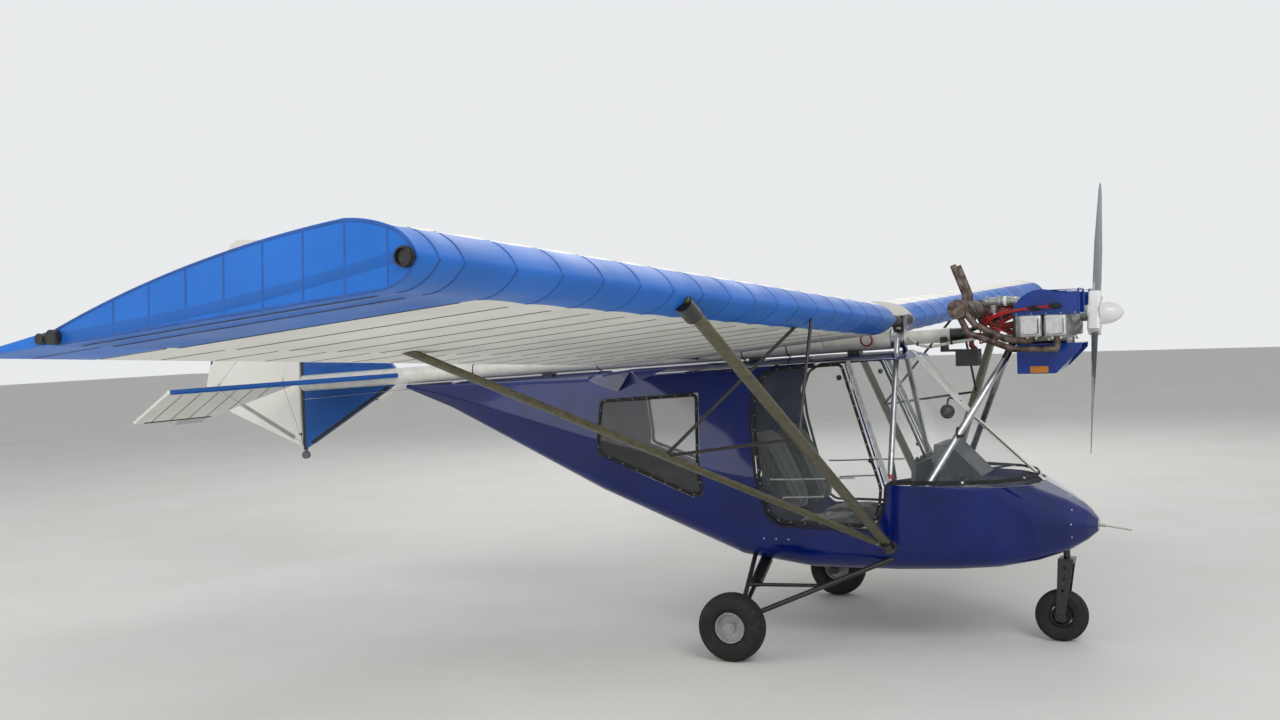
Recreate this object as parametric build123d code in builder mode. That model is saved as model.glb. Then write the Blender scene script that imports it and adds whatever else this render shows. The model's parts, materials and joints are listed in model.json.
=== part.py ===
import os
from math import atan2, cos, pi, radians, sin, tan

from build123d import *

os.makedirs("parts", exist_ok=True)

# Two-seat high-wing ultralight aircraft, parked on its wheels. Millimetres;
# x is forward, y to port, z up from the ground. Stations are measured from
# the leading-edge tube of the wing, which stands wing_x forward of the origin.
wing_x = 1935
clear = 0.3  # gap between pieces that sit on each other

# Wing
half_span = 4800
root_y = 200
dihedral = 2.5
nose_ahead = 35
spar_aft = 1250
le_tube_z = 1755
le_tube_d = 60
rear_tube_d = 46
aileron_root_y = 300
aileron_chord = 335
aileron_nose_r = 19

# Tail boom
stub_d = 80
stub_end = 289
boom_d = 110
boom_start = -46
boom_end = -4206
boom_wall = 3
boom_z = 1657
boom_slope = 0.0437

# Pod
pod_wall = 5
sill_z = 893
roof_edge_z = 1548
roof_front = 95
post_foot = 36
post_head = -208
door_gap = 6

# Lift struts
strut_foot = (54, 546, 561)
strut_top_y = 3060
front_strut_chord = 60
rear_strut_chord = 54
strut_thickness = 28
jury_share = 0.53
jury_top_y = 1550
jury_d = 16

# Main gear
axle_x = wing_x - 700
track_half = 935
main_tyre_d = 360
main_tyre_w = 125
main_rim_d = 160
axle_d = 25

# Nose gear
nose_axle_x = wing_x + 840
nose_tyre_d = 280
nose_tyre_w = 90
nose_rim_d = 110
steer_x = wing_x + 875
fork_crown_z = 452
steer_tube_d = 36
steer_top = 590
fork_plate = 6
fork_gap = 8

# Engine and propeller
prop_x = wing_x + 1061
prop_z = 1762
prop_radius = 790
blade_lean = 25.9
hub_back = 38
hub_front = 26
hub_reach = 110
hub_width = 92
engine_z = 1705
engine_front = wing_x + 985
engine_back = wing_x + 660
case_half = 110
cylinder_xs = (wing_x + 770, wing_x + 896)
cylinder_d = 112
cylinder_reach = 275
cover_size = 86
cover_reach = 345
mount_z = 1720
muffler_d = 98
muffler_half = 300
muffler_x = wing_x + 388
muffler_z = 1806
pipe_y = 250
pipe_d = 34

# Tail
post_x = wing_x - 4216
post_d = 32
post_bottom = 1015
post_top = 2440
stab_half_span = 1300
stab_thickness = 30
elevator_chord = 360
elevator_droop = 30


def save(piece, name):
    piece.label = name
    export_step(piece, f"parts/{name}.step")


def save_pair(piece, name):
    save(piece, f"{name}_left")
    save(mirror(piece, about=Plane.XZ), f"{name}_right")


def along(start, end, toward=None):
    return Plane(origin=start, x_dir=toward, z_dir=Vector(*end) - Vector(*start))


def length(start, end):
    return (Vector(*end) - Vector(*start)).length


def part_way(start, end, share):
    return tuple(a + share * (b - a) for a, b in zip(start, end))


def tube(start, end, outer, wall=0, mode=Mode.ADD):
    with BuildSketch(along(start, end)) as ring:
        Circle(outer / 2)
        if wall:
            Circle(outer / 2 - wall, mode=Mode.SUBTRACT)
    extrude(ring.sketch, amount=length(start, end), mode=mode)


def slab(points, y_low, y_high, mode=Mode.ADD, inset=0):
    with BuildSketch(Plane.XZ.offset(-y_low)) as side:
        with BuildLine():
            Polyline(*[(wing_x + x, z) for x, z in points], close=True)
        make_face()
        if inset:
            offset(amount=-inset, kind=Kind.INTERSECTION)
    extrude(side.sketch, amount=-(y_high - y_low), mode=mode)


def bent_tube(points, radius, outer, wall, mode=Mode.ADD):
    with BuildLine() as route:
        FilletPolyline(*points, radius=radius)
    with BuildSketch(along(points[0], points[1])) as ring:
        Circle(outer / 2)
        if wall:
            Circle(outer / 2 - wall, mode=Mode.SUBTRACT)
    sweep(ring.sketch, path=route.line, mode=mode)


def boom_axis_z(station):
    return boom_z + boom_slope * station


# Pod form: station, bottom z, bottom half-width, waist z, waist half-width,
# shoulder z, shoulder half-width, crown z, corner radius at bottom, waist, shoulder
pod_sections = (
    (1045, 604, 28, 634, 52, 664, 26, 672, 12, 10, 12),
    (1000, 566, 92, 640, 132, 716, 70, 730, 40, 40, 34),
    (910, 514, 175, 672, 232, 778, 140, 794, 70, 70, 60),
    (767, 468, 275, 730, 350, 850, 250, 876, 100, 120, 70),
    (576, 439, 385, 885, 450, 985, 300, 1056, 120, 60, 110),
    (379, 429, 445, 893, 508, 1145, 320, 1241, 130, 60, 150),
    (66, 421, 490, 893, 536, 1555, 395, 1592, 130, 60, 50),
    (-420, 419, 490, 893, 542, 1540, 395, 1578, 130, 60, 50),
    (-830, 471, 468, 930, 520, 1522, 375, 1560, 130, 60, 50),
    (-1760, 812, 350, 1120, 385, 1482, 285, 1520, 90, 60, 50),
    (-2955, 1297, 80, 1380, 120, 1446, 84, 1466, 30, 30, 16),
    (-3340, 1426, 20, 1438, 30, 1448, 20, 1450, 5, 5, 5),
)


def pod_section(row, inset):
    (station, bottom, low_w, waist, waist_w, shoulder, high_w, crown,
     low_r, waist_r, high_r) = row
    half = [
        (low_w - inset * 0.7, bottom + inset), (waist_w - inset, waist),
        (high_w - inset * 0.7, shoulder - inset), (0, crown - inset),
    ]
    radii = [low_r, waist_r, high_r]
    with BuildSketch(Plane.YZ.offset(wing_x + station)) as section:
        with BuildLine():
            Polyline(*half, *[(-y, z) for y, z in half[-2::-1]], close=True)
        make_face()
        for (y, z), radius in zip(half, radii):
            corners = [v for v in section.vertices()
                       if abs(abs(v.X) - y) < 0.01 and abs(v.Y - z) < 0.01]
            fillet(corners, max(radius - inset, 2))
    return section.sketch


def pod_form(inset):
    with BuildPart() as form:
        sections = [pod_section(row, inset) for row in pod_sections]
        loft(sections=[s.faces()[0] for s in sections], ruled=True)
    return form.part


nose_x = pod_sections[0][0]
outer = pod_form(0)
with BuildPart() as hollow:
    add(pod_form(pod_wall))
    slab(((nose_x - pod_wall, 500), (nose_x + 1, 500), (nose_x + 1, 700), (nose_x - pod_wall, 700)),
         -60, 60, Mode.SUBTRACT)
inner = hollow.part
seat_form = pod_form(-clear)
lining = pod_form(pod_wall + clear)

door_outline = (
    (post_head - door_gap, roof_edge_z), (-600, 1530), (-690, 1480), (-738, 1360),
    (-735, 1200), (-680, 850), (-640, 715), (-570, 662), (-60, 655), (-20, 690),
    (18, 790), (post_foot - door_gap, sill_z - 12),
)
window_outline = ((-1747, 1354), (-1084, 1390), (-1030, 815), (-1100, 795), (-1747, 1030))
screen_outline = (
    (post_foot, sill_z), (767, 868), (900, 900), (900, 1750), (roof_front, 1750),
    (roof_front, roof_edge_z), (post_head, roof_edge_z),
)
notch_outline = ((-1854, 1470), (-1628, 1396), (-1380, 1500), (-1380, 1640), (-1854, 1640))

# Engine legs: from the engine mount down through the windscreen to the sill
leg_top = (577, 16, 1525)
leg_foot = (255, 452, 905)
leg_d = 38
grommet_wall = 9


# Cabin tubes: from the collar on the boom down to the sills
cabin_tube_top = (0, 60, 1655)
cabin_tube_foot = (40, 450, 905)
cabin_tube_d = 32
collar_d = stub_d + 24
collar_start, collar_end = -40, 34


def at(point):
    return (wing_x + point[0], point[1], point[2])


def mirrored(point):
    return (point[0], -point[1], point[2])


def boom_point(station):
    return (wing_x + station, 0, boom_axis_z(station))


with BuildPart() as pod_shell:
    add(outer)
    add(inner, mode=Mode.SUBTRACT)
    for low, high in ((200, 700), (-700, -200)):
        slab(door_outline, low, high, Mode.SUBTRACT)
        slab(window_outline, low, high, Mode.SUBTRACT)
    slab(screen_outline, -700, 700, Mode.SUBTRACT)
    for low, high in ((150, 700), (-700, -150)):
        slab(notch_outline, low, high, Mode.SUBTRACT)
    for side in (1, -1):
        top = (cabin_tube_top[0], side * cabin_tube_top[1], cabin_tube_top[2])
        foot = (cabin_tube_foot[0], side * cabin_tube_foot[1], cabin_tube_foot[2])
        tube(at(top), at(foot), cabin_tube_d + 2 * clear, mode=Mode.SUBTRACT)
    tube((steer_x, 0, 450), (steer_x, 0, 600), steer_tube_d + 12, mode=Mode.SUBTRACT)
save(pod_shell.part, "pod_shell")

with BuildPart() as windscreen:
    add(outer)
    add(inner, mode=Mode.SUBTRACT)
    slab(screen_outline, -700, 700, Mode.INTERSECT, inset=clear)
    for top, foot in ((leg_top, leg_foot), (mirrored(leg_top), mirrored(leg_foot))):
        tube(at(top), at(foot), leg_d + 2 * grommet_wall, mode=Mode.SUBTRACT)
save(windscreen.part, "windscreen")

with BuildPart() as grommets:
    for top, foot in ((leg_top, leg_foot), (mirrored(leg_top), mirrored(leg_foot))):
        tube(at(top), at(foot), leg_d + 2 * (grommet_wall - clear))
        tube(at(top), at(foot), leg_d + 2 * clear, mode=Mode.SUBTRACT)
    add(outer, mode=Mode.INTERSECT)
    add(inner, mode=Mode.SUBTRACT)
save(grommets.part, "leg_grommets")

# Door hinges: two barrels on a line that stands off the sloped door post
hinge_foot = Vector(wing_x + post_foot, 536.4, sill_z)
hinge_head = Vector(wing_x + post_head, 395, 1546.5)
hinge_up = (hinge_head - hinge_foot).normalized()
hinge_out = Vector(1, -0.0123, 0).cross(hinge_up).normalized() * -1
hinge_fwd = hinge_up.cross(hinge_out).normalized() * -1
hinge_stand = 9
hinge_back = 3
barrel_d = 14
door_pin_d = 6
barrel_length = 36
lug_length = 12
barrel_shares = (0.18, 0.8)


def hinge_block(share, start, end, low, high, back, front, mode=Mode.ADD):
    middle = hinge_foot + hinge_up * (share * (hinge_head - hinge_foot).length)
    plane = Plane(origin=middle + hinge_up * start, x_dir=hinge_fwd, z_dir=hinge_up)
    rise = 1 if plane.y_dir.dot(hinge_out) > 0 else -1
    with BuildSketch(plane) as block:
        with BuildLine():
            Polyline((back, rise * low), (front, rise * low), (front, rise * high),
                     (back, rise * high), close=True)
        make_face()
    extrude(block.sketch, amount=end - start, mode=mode)


def hinge_pin(share, start, end, outer, mode=Mode.ADD):
    middle = hinge_foot + hinge_up * (share * (hinge_head - hinge_foot).length)
    middle = middle + hinge_out * hinge_stand - hinge_fwd * hinge_back
    tube(tuple(middle + hinge_up * start), tuple(middle + hinge_up * end), outer, mode=mode)


with BuildPart() as door:
    add(outer)
    add(inner, mode=Mode.SUBTRACT)
    slab(door_outline, 200, 700, Mode.INTERSECT, inset=door_gap - 1)
    half = barrel_length / 2
    for share in barrel_shares:
        hinge_block(share, -half, half, -2, 3, -60, -14)
        hinge_block(share, -half, half, 1.5, 4, -60, -hinge_back)
        hinge_pin(share, -half, half, barrel_d)
        hinge_pin(share, -half - 5, half + 5, door_pin_d + 2 * 0.1, mode=Mode.SUBTRACT)
save_pair(door.part, "door")

with BuildPart() as door_post:
    hinge_block(0, 6, (hinge_head - hinge_foot).length - 6, -3, 6, 7, 30)
    for share in barrel_shares:
        for start in (-half - 1 - lug_length, half + 1):
            hinge_pin(share, start, start + lug_length, barrel_d)
            hinge_block(share, start, start + lug_length, 3, hinge_stand + barrel_d / 2,
                        -hinge_back, 12)
        hinge_pin(share, -half - lug_length, half + lug_length, door_pin_d)
    add(seat_form, mode=Mode.SUBTRACT)
save_pair(door_post.part, "door_post")

with BuildPart() as window:
    add(outer)
    add(inner, mode=Mode.SUBTRACT)
    slab(window_outline, 200, 700, Mode.INTERSECT, inset=clear)
save_pair(window.part, "rear_window")

with BuildPart() as boom:
    tube(boom_point(boom_end), boom_point(boom_start), boom_d, boom_wall)
    tube(boom_point(boom_start - 20), boom_point(boom_start), boom_d, (boom_d - stub_d) / 2 + boom_wall)
    tube(boom_point(boom_start - 10), boom_point(stub_end), stub_d, boom_wall)
    tube((post_x, 0, post_bottom), (post_x, 0, post_top), post_d + 2 * clear, mode=Mode.SUBTRACT)
save(boom.part, "boom")

# Saddles that hang the pod from the boom
saddle_length = 70
saddle_width = 64
with BuildPart() as saddles:
    for station in (-300, -900, -2300):
        slab(((station, 1440), (station + saddle_length, 1440),
              (station + saddle_length, boom_axis_z(station) - 20), (station, boom_axis_z(station) - 20)),
             -saddle_width / 2, saddle_width / 2)
    tube(boom_point(-2500), boom_point(-100), boom_d + 2 * clear, mode=Mode.SUBTRACT)
    add(seat_form, mode=Mode.SUBTRACT)
save(saddles.part, "pod_saddles")

# Wing frame: x aft, y up across the chord, z along the span, on the leading-edge tube
wing_frame = Plane(
    origin=(wing_x, 0, le_tube_z), x_dir=(-1, 0, 0),
    z_dir=(0, cos(radians(dihedral)), sin(radians(dihedral))),
)
tip_cap = 24
spar_drop = 166
hinge_aft = spar_aft + 7 + aileron_nose_r
hinge_drop = spar_drop + 4
hinge_spans = (700, 1900, 3100, 4300)
tongue_w = 8
tongue_gap = 6
pin_d = 6
pin_clear = 0.1
wing_tip = half_span - tip_cap


def wing_profile(grow=0):
    nose = (-nose_ahead - grow, 0)
    brow = (60, 88 + grow)
    crest = (198, 112 + grow)
    heel = (spar_aft - 22, -143 + grow)
    keel = (spar_aft - 22, -189 - grow)
    chin = (99, -81 - grow)
    with BuildSketch(wing_frame.offset(root_y)) as profile:
        with BuildLine():
            ThreePointArc(nose, (-6 - grow, 46), brow)
            ThreePointArc(brow, (130, 106 + grow), crest)
            ThreePointArc(crest, (603, 46 + grow), heel)
            ThreePointArc(heel, (spar_aft + grow, -spar_drop), keel)
            ThreePointArc(keel, (584, -127 - grow), chin)
            ThreePointArc(chin, (20, -58 - grow), nose)
        make_face()
    return profile.sketch


with BuildPart() as wing:
    extrude(wing_profile(), amount=wing_tip - root_y)
    for span in hinge_spans:
        with BuildSketch(wing_frame.offset(span - tongue_w / 2)) as tongue:
            with BuildLine():
                Polyline(
                    (spar_aft - 20, -spar_drop + 14), (hinge_aft, -hinge_drop + 8),
                    (hinge_aft, -hinge_drop - 8), (spar_aft - 20, -spar_drop - 14), close=True,
                )
            make_face()
            with Locations((hinge_aft, -hinge_drop)):
                Circle(8)
        extrude(tongue.sketch, amount=tongue_w)
        with BuildSketch(wing_frame.offset(span - 20)) as pin:
            with Locations((hinge_aft, -hinge_drop)):
                Circle(pin_d / 2)
        extrude(pin.sketch, amount=40)
save_pair(wing.part, "wing")



def wing_seat(middle, reach=260):
    with BuildPart() as block:
        extrude(wing_profile(clear), amount=reach)
    shift = middle - reach / 2 - root_y
    return block.part.moved(Location(wing_frame.z_dir * shift))


with BuildPart() as wing_tubes:
    root_stub = 42
    with BuildSketch(wing_frame.offset(root_stub)) as sleeve:
        Circle(le_tube_d / 2)
        Circle(le_tube_d / 2 - 8, mode=Mode.SUBTRACT)
    extrude(sleeve.sketch, amount=root_y - root_stub - clear)
    with BuildSketch(wing_frame.offset(wing_tip + clear)) as ends:
        with Locations((0, 0)):
            Circle(le_tube_d / 2 - 4)
            Circle(le_tube_d / 2 - 8, mode=Mode.SUBTRACT)
        with Locations((spar_aft - 24, -spar_drop)):
            Circle(rear_tube_d / 2 - 1)
    extrude(ends.sketch, amount=tip_cap - clear)
    with BuildSketch(wing_frame.offset(30)) as rear_stub:
        with Locations((spar_aft - 24, -spar_drop)):
            Circle(rear_tube_d / 2 - 1)
    extrude(rear_stub.sketch, amount=root_y - 30 - clear)
    tube(boom_point(-1400), boom_point(-1100), boom_d + 2 * clear, mode=Mode.SUBTRACT)
save_pair(wing_tubes.part, "wing_tubes")

with BuildPart() as aileron:
    span_length = wing_tip - aileron_root_y
    tail_reach = aileron_chord - aileron_nose_r
    with BuildSketch(wing_frame.offset(aileron_root_y)) as section:
        with BuildLine():
            Polyline(
                (hinge_aft, -hinge_drop + aileron_nose_r),
                (hinge_aft + tail_reach, -hinge_drop - 0.14 * tail_reach + 4),
                (hinge_aft + tail_reach, -hinge_drop - 0.14 * tail_reach - 4),
                (hinge_aft, -hinge_drop - aileron_nose_r), close=True,
            )
        make_face()
        with Locations((hinge_aft, -hinge_drop)):
            Circle(aileron_nose_r)
    extrude(section.sketch, amount=span_length)
    for span in hinge_spans:
        with BuildSketch(wing_frame.offset(span - tongue_w / 2 - tongue_gap)) as slot:
            with Locations((hinge_aft - 8, -hinge_drop)):
                Rectangle(2 * aileron_nose_r + 14, 4 * aileron_nose_r)
        extrude(slot.sketch, amount=tongue_w + 2 * tongue_gap, mode=Mode.SUBTRACT)
        with BuildSketch(wing_frame.offset(span - 22)) as bore:
            with Locations((hinge_aft, -hinge_drop)):
                Circle(pin_d / 2 + pin_clear)
        extrude(bore.sketch, amount=44, mode=Mode.SUBTRACT)
save_pair(aileron.part, "aileron")

# Centre bracket that carries both leading-edge tubes on the boom
with BuildPart() as root_bracket:
    stub_top = boom_axis_z(0) + stub_d / 2
    with BuildSketch(Plane.XY.offset(le_tube_z - 32)) as block:
        with Locations((wing_x, 0)):
            Rectangle(66, 80)
    extrude(block.sketch, amount=64)
    with BuildSketch(Plane.XY.offset(stub_top - 30)) as posts:
        with Locations((wing_x - 22, 0), (wing_x + 22, 0)):
            Rectangle(16, 60)
    extrude(posts.sketch, amount=le_tube_z - 32 - stub_top + 30)
    tube(boom_point(-60), boom_point(stub_end), collar_d + 2 * clear, mode=Mode.SUBTRACT)
save(root_bracket.part, "wing_root_bracket")



def wall_end(top, foot, outer):
    with BuildPart() as end:
        tube(at(foot), at(part_way(top, foot, 1.25)), outer)
        add(lining, mode=Mode.INTERSECT)
    return end.part


with BuildPart() as cabin_tubes:
    for side in (1, -1):
        top = (cabin_tube_top[0], side * cabin_tube_top[1], cabin_tube_top[2])
        foot = (cabin_tube_foot[0], side * cabin_tube_foot[1], cabin_tube_foot[2])
        tube(at(top), at(foot), cabin_tube_d)
        add(wall_end(top, foot, cabin_tube_d))
    tube(boom_point(collar_start), boom_point(collar_end), collar_d)
    tube(boom_point(-80), boom_point(stub_end), stub_d + 2 * clear, mode=Mode.SUBTRACT)
save(cabin_tubes.part, "cabin_tubes")

with BuildPart() as engine_legs:
    for top, foot in ((leg_top, leg_foot), (mirrored(leg_top), mirrored(leg_foot))):
        tube(at(top), at(foot), leg_d)
        add(wall_end(top, foot, leg_d))
save(engine_legs.part, "engine_legs")

with BuildPart() as engine_mount:
    plate_x = engine_back - 12 - clear
    with BuildSketch(Plane.YZ.offset(plate_x)) as plate:
        with Locations((0, mount_z)):
            RectangleRounded(230, 180, 12)
            Rectangle(150, 100, mode=Mode.SUBTRACT)
    extrude(plate.sketch, amount=12)
    tube(boom_point(stub_end - 40), boom_point(stub_end + 60), stub_d - 2 * boom_wall - 2 * clear)
    tube(boom_point(stub_end + clear), boom_point(stub_end + 100), 66)
    for y in (-95, 95):
        for z in (mount_z - 78, mount_z + 78):
            tube(boom_point(stub_end + 60), (plate_x + 4, y, z), 24)
    tube((plate_x - 12, 0, mount_z - 80), at((leg_top[0], 0, leg_top[2])), 40)
    add(engine_legs.part, mode=Mode.SUBTRACT)
save(engine_mount.part, "engine_mount")

# Engine: flat four with finned barrels, square heads, rocker covers and a nose gearbox
case_height = 190
head_y = 222
fin_size = cylinder_d
fin_thick = 4
fin_ys = (122, 138, 154, 170, 186, 202)
gearbox_x = engine_front - 62
with BuildPart() as engine:
    with BuildSketch(Plane.YZ.offset(engine_back)) as case:
        with Locations((0, engine_z)):
            RectangleRounded(2 * case_half, case_height, 26)
    extrude(case.sketch, amount=gearbox_x - engine_back)
    with BuildSketch(Plane.YZ.offset(gearbox_x)) as rear_face:
        with Locations((0, (engine_z + prop_z) / 2)):
            RectangleRounded(190, 170, 60)
    with BuildSketch(Plane.YZ.offset(engine_front)) as front_face:
        with Locations((0, prop_z)):
            RectangleRounded(124, 124, 58)
    loft(sections=[rear_face.sketch.faces()[0], front_face.sketch.faces()[0]])
    tube((engine_front - 5, 0, prop_z), (prop_x - hub_back - clear, 0, prop_z), 84)
    for x in cylinder_xs:
        for side in (1, -1):
            tube((x, side * (case_half - 5), engine_z), (x, side * head_y, engine_z), fin_size - 26)
            for y in fin_ys:
                with BuildSketch(Plane.XZ.offset(-side * y)) as fin_sketch:
                    with Locations((x, engine_z)):
                        RectangleRounded(fin_size, fin_size, 22)
                extrude(fin_sketch.sketch, amount=-side * fin_thick)
            with BuildSketch(Plane.XZ.offset(-side * head_y)) as head:
                with Locations((x, engine_z)):
                    RectangleRounded(fin_size, fin_size, 10)
            extrude(head.sketch, amount=-side * (cylinder_reach - head_y + 24))
            with BuildSketch(Plane.XZ.offset(-side * (cylinder_reach + 20))) as cover:
                with Locations((x, engine_z)):
                    RectangleRounded(cover_size, cover_size, 14)
            extrude(cover.sketch, amount=-side * (cover_reach - cylinder_reach - 20))
save(engine.part, "engine")

# Cooling ducts: open at the front, rounded down at the rear, resting on the fins
duct_wall = 4
duct_inner_y = 112
duct_outer_y = 300
duct_foot = engine_z + fin_size / 2 + clear


def duct_side(inset, mouth):
    back_x = wing_x + 679 + inset
    top_z = 1893 - inset
    front_x = wing_x + 1015 + mouth
    with BuildSketch(Plane.XZ.offset(-duct_inner_y - inset)) as side:
        with BuildLine():
            Polyline((back_x, duct_foot + 25), (back_x, duct_foot - mouth), (front_x, duct_foot - mouth),
                     (front_x, top_z), (wing_x + 850, top_z))
            ThreePointArc((wing_x + 850, top_z), (wing_x + 736 + inset * 0.6, 1864 - inset * 0.8),
                          (back_x, duct_foot + 25))
        make_face()
    return side.sketch


with BuildPart() as air_duct:
    extrude(duct_side(0, 0), amount=-(duct_outer_y - duct_inner_y))
    fillet(air_duct.edges().filter_by(GeomType.LINE).filter_by(Axis.X).group_by(Axis.Z)[-1], 30)
    extrude(
        duct_side(duct_wall, 1), amount=-(duct_outer_y - duct_inner_y - 2 * duct_wall),
        mode=Mode.SUBTRACT,
    )
save_pair(air_duct.part, "air_duct")

# Chin cowl: open at the front round the oil cooler
cowl_wall = 4
cowl_half = 125
with BuildPart() as chin_cowl:
    cowl_top = engine_z - case_height / 2 - clear
    slab(((665, 1450), (866, 1450), (998, 1583), (1000, cowl_top), (665, cowl_top)), -cowl_half, cowl_half)
    slab(((900, 1478), (1010, 1590), (1010, cowl_top - cowl_wall), (900, cowl_top - cowl_wall)),
         -cowl_half + cowl_wall, cowl_half - cowl_wall, Mode.SUBTRACT)
save(chin_cowl.part, "chin_cowl")

with BuildPart() as exhaust:
    tube((muffler_x, -muffler_half, muffler_z), (muffler_x, muffler_half, muffler_z), muffler_d)
    for y in (-80, 50):
        bent_tube(((muffler_x, y, muffler_z), (muffler_x, y, 1890), (muffler_x - 60, y, 2050)),
                  30, pipe_d, 0)
    port_z = engine_z - fin_size / 2 - clear
    # route of each header in stations and heights
    for x, route in (
        (770, ((770, 1625), (629, 1640), (474, 1721), (420, 1790))),
        (896, ((896, 1583), (668, 1587), (435, 1679), (396, 1762))),
    ):
        for side in (1, -1):
            points = [at((x, side * pipe_y, port_z))]
            points += [at((station, side * pipe_y, z)) for station, z in route]
            bent_tube(points, 16, pipe_d, 0)
save(exhaust.part, "exhaust")

# Propeller: two blades in a clamped hub, the blade line leaned about the shaft
shaft_plane = Plane(origin=(prop_x, 0, prop_z), x_dir=(0, 1, 0), z_dir=(1, 0, 0))
# Radius, chord, thickness, pitch in degrees from the plane of rotation
blade_rows = (
    (hub_reach - 20, 60, 34, 38), (200, 78, 20, 28), (400, 96, 14, 19),
    (600, 82, 9, 13), (740, 58, 7, 11), (prop_radius, 30, 5, 10),
)
# Blade section, as shares of its chord and thickness
blade_outline = (
    (-0.5, 0), (-0.36, 0.38), (-0.08, 0.52), (0.26, 0.34), (0.5, 0.02), (0.26, -0.2), (-0.08, -0.34),
    (-0.36, -0.28),
)


def blade_plane(radius, sign, pitch):
    lean = radians(blade_lean)
    radial = Vector(0, sign * sin(lean), sign * cos(lean))
    tangent = Vector(0, sign * cos(lean), -sign * sin(lean))
    chordwise = tangent * cos(radians(pitch)) + Vector(sin(radians(pitch)), 0, 0)
    return Plane(origin=Vector(prop_x, 0, prop_z) + radial * radius, x_dir=chordwise, z_dir=radial)


with BuildPart() as propeller:
    with BuildSketch(shaft_plane.offset(-hub_back)) as boss:
        Circle(48)
    extrude(boss.sketch, amount=hub_back + hub_front)
    with BuildSketch(blade_plane(-hub_reach, 1, 0)) as clamp:
        with Locations((0, -(hub_front - hub_back) / 2)):
            RectangleRounded(hub_width, hub_back + hub_front, 16)
    extrude(clamp.sketch, amount=2 * hub_reach)
    for sign in (1, -1):
        faces = []
        for radius, chord, thick, pitch in blade_rows:
            with BuildSketch(blade_plane(radius, sign, pitch)) as section:
                with BuildLine():
                    Polyline(*[(x * chord, y * thick) for x, y in blade_outline], close=True)
                make_face()
            faces.append(section.sketch.faces()[0])
        loft(sections=faces, ruled=True)
save(propeller.part, "propeller")

spinner_r = 62
dome = 79
with BuildPart() as spinner:
    with BuildSketch(Plane(origin=(prop_x, 0, prop_z), x_dir=(1, 0, 0), z_dir=(0, -1, 0))) as half:
        start = hub_front + clear
        with BuildLine():
            Polyline((dome + spinner_r, 0), (start, 0), (start, spinner_r), (dome, spinner_r))
            ThreePointArc(
                (dome, spinner_r), (dome + spinner_r * sin(pi / 4), spinner_r * cos(pi / 4)),
                (dome + spinner_r, 0),
            )
        make_face()
    revolve(half.sketch, axis=Axis((prop_x, 0, prop_z), (1, 0, 0)))
save(spinner.part, "spinner")

# Lift struts, with the fitting at the pod that both share
def strut_section(start, end, chord, grow=0):
    long, short = chord / 2 + grow, strut_thickness / 2 + grow
    with BuildSketch(along(start, end, (1, 0, 0))) as section:
        with BuildLine():
            for turn in (1, -1):
                near, far = turn * long * 0.5, turn * short * 0.87
                ThreePointArc((near, -far), (turn * long, 0), (near, far))
                ThreePointArc((near, far), (0, turn * short), (-near, far))
        make_face()
    return section.sketch


wing_rise = tan(radians(dihedral))
front_top = (0, strut_top_y, le_tube_z + strut_top_y * wing_rise - 20)
rear_top = (24 - spar_aft, strut_top_y, le_tube_z - spar_drop + strut_top_y * wing_rise - 8)
struts = []
for top, chord in ((front_top, front_strut_chord), (rear_top, rear_strut_chord)):
    with BuildPart() as strut:
        extrude(
            strut_section(at(strut_foot), at(top), chord), amount=length(strut_foot, top),
        )
        add(wing_seat(strut_top_y - 20), mode=Mode.SUBTRACT)
    struts.append(strut.part)
with BuildPart() as lift_struts:
    with BuildSketch(Plane.XZ.offset(-strut_foot[1] + 66)) as fitting:
        with Locations((wing_x + strut_foot[0], strut_foot[2])):
            Circle(30)
    extrude(fitting.sketch, amount=-86)
    add(seat_form, mode=Mode.SUBTRACT)
    add(struts)
save_pair(lift_struts.part, "lift_struts")

with BuildPart() as jury_struts:
    front_mid = part_way(strut_foot, front_top, jury_share)
    rear_mid = part_way(strut_foot, rear_top, jury_share)
    spar_point = (0, jury_top_y, le_tube_z + jury_top_y * wing_rise)
    tube(at(spar_point), at(front_mid), jury_d)
    tube(at(spar_point), at(rear_mid), jury_d)
    tube(at(front_mid), at(rear_mid), jury_d)
    add(wing_seat(jury_top_y), mode=Mode.SUBTRACT)
    for top, chord in ((front_top, front_strut_chord), (rear_top, rear_strut_chord)):
        extrude(
            strut_section(at(strut_foot), at(top), chord, clear),
            amount=length(strut_foot, top), mode=Mode.SUBTRACT,
        )
save_pair(jury_struts.part, "jury_struts")

# Main gear
wheel_inner = main_tyre_w / 2 + 10
axle_z = main_tyre_d / 2
with BuildPart() as main_gear:
    knuckle = (-700, track_half - wheel_inner - 22, axle_z + 14)
    leg_head = (-745, 420, 500)
    shock_head = (-712, 300, 470)
    drag_head = (66, 470, 500)
    tube(at(leg_head), at(knuckle), 26)
    tube(at(shock_head), at(knuckle), 26)
    tube(at(part_way(shock_head, knuckle, 0.1)), at(part_way(shock_head, knuckle, 0.45)), 70)
    tube(at(drag_head), at(knuckle), 28)
    tube(at(part_way(leg_head, knuckle, 0.5)), at(part_way(drag_head, knuckle, 0.45)), 20)
    tube((axle_x, knuckle[1] - 18, axle_z), (axle_x, track_half + 46, axle_z), axle_d)
    with BuildSketch(Plane.XZ.offset(-(knuckle[1] - 16))) as block:
        with Locations((axle_x, axle_z + 6)):
            RectangleRounded(60, 70, 14)
    extrude(block.sketch, amount=-30)
    add(seat_form, mode=Mode.SUBTRACT)
save_pair(main_gear.part, "main_gear")


def wheel_plane(x, z):
    return Plane(origin=(x, 0, z), x_dir=(0, 1, 0), z_dir=(1, 0, 0))


# Tyre section: share of the height over the rim, share of the half-width
tyre_outline = ((0, 0.66), (0.22, 0.94), (0.5, 1), (0.78, 0.93), (0.94, 0.68), (1, 0.36))


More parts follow.
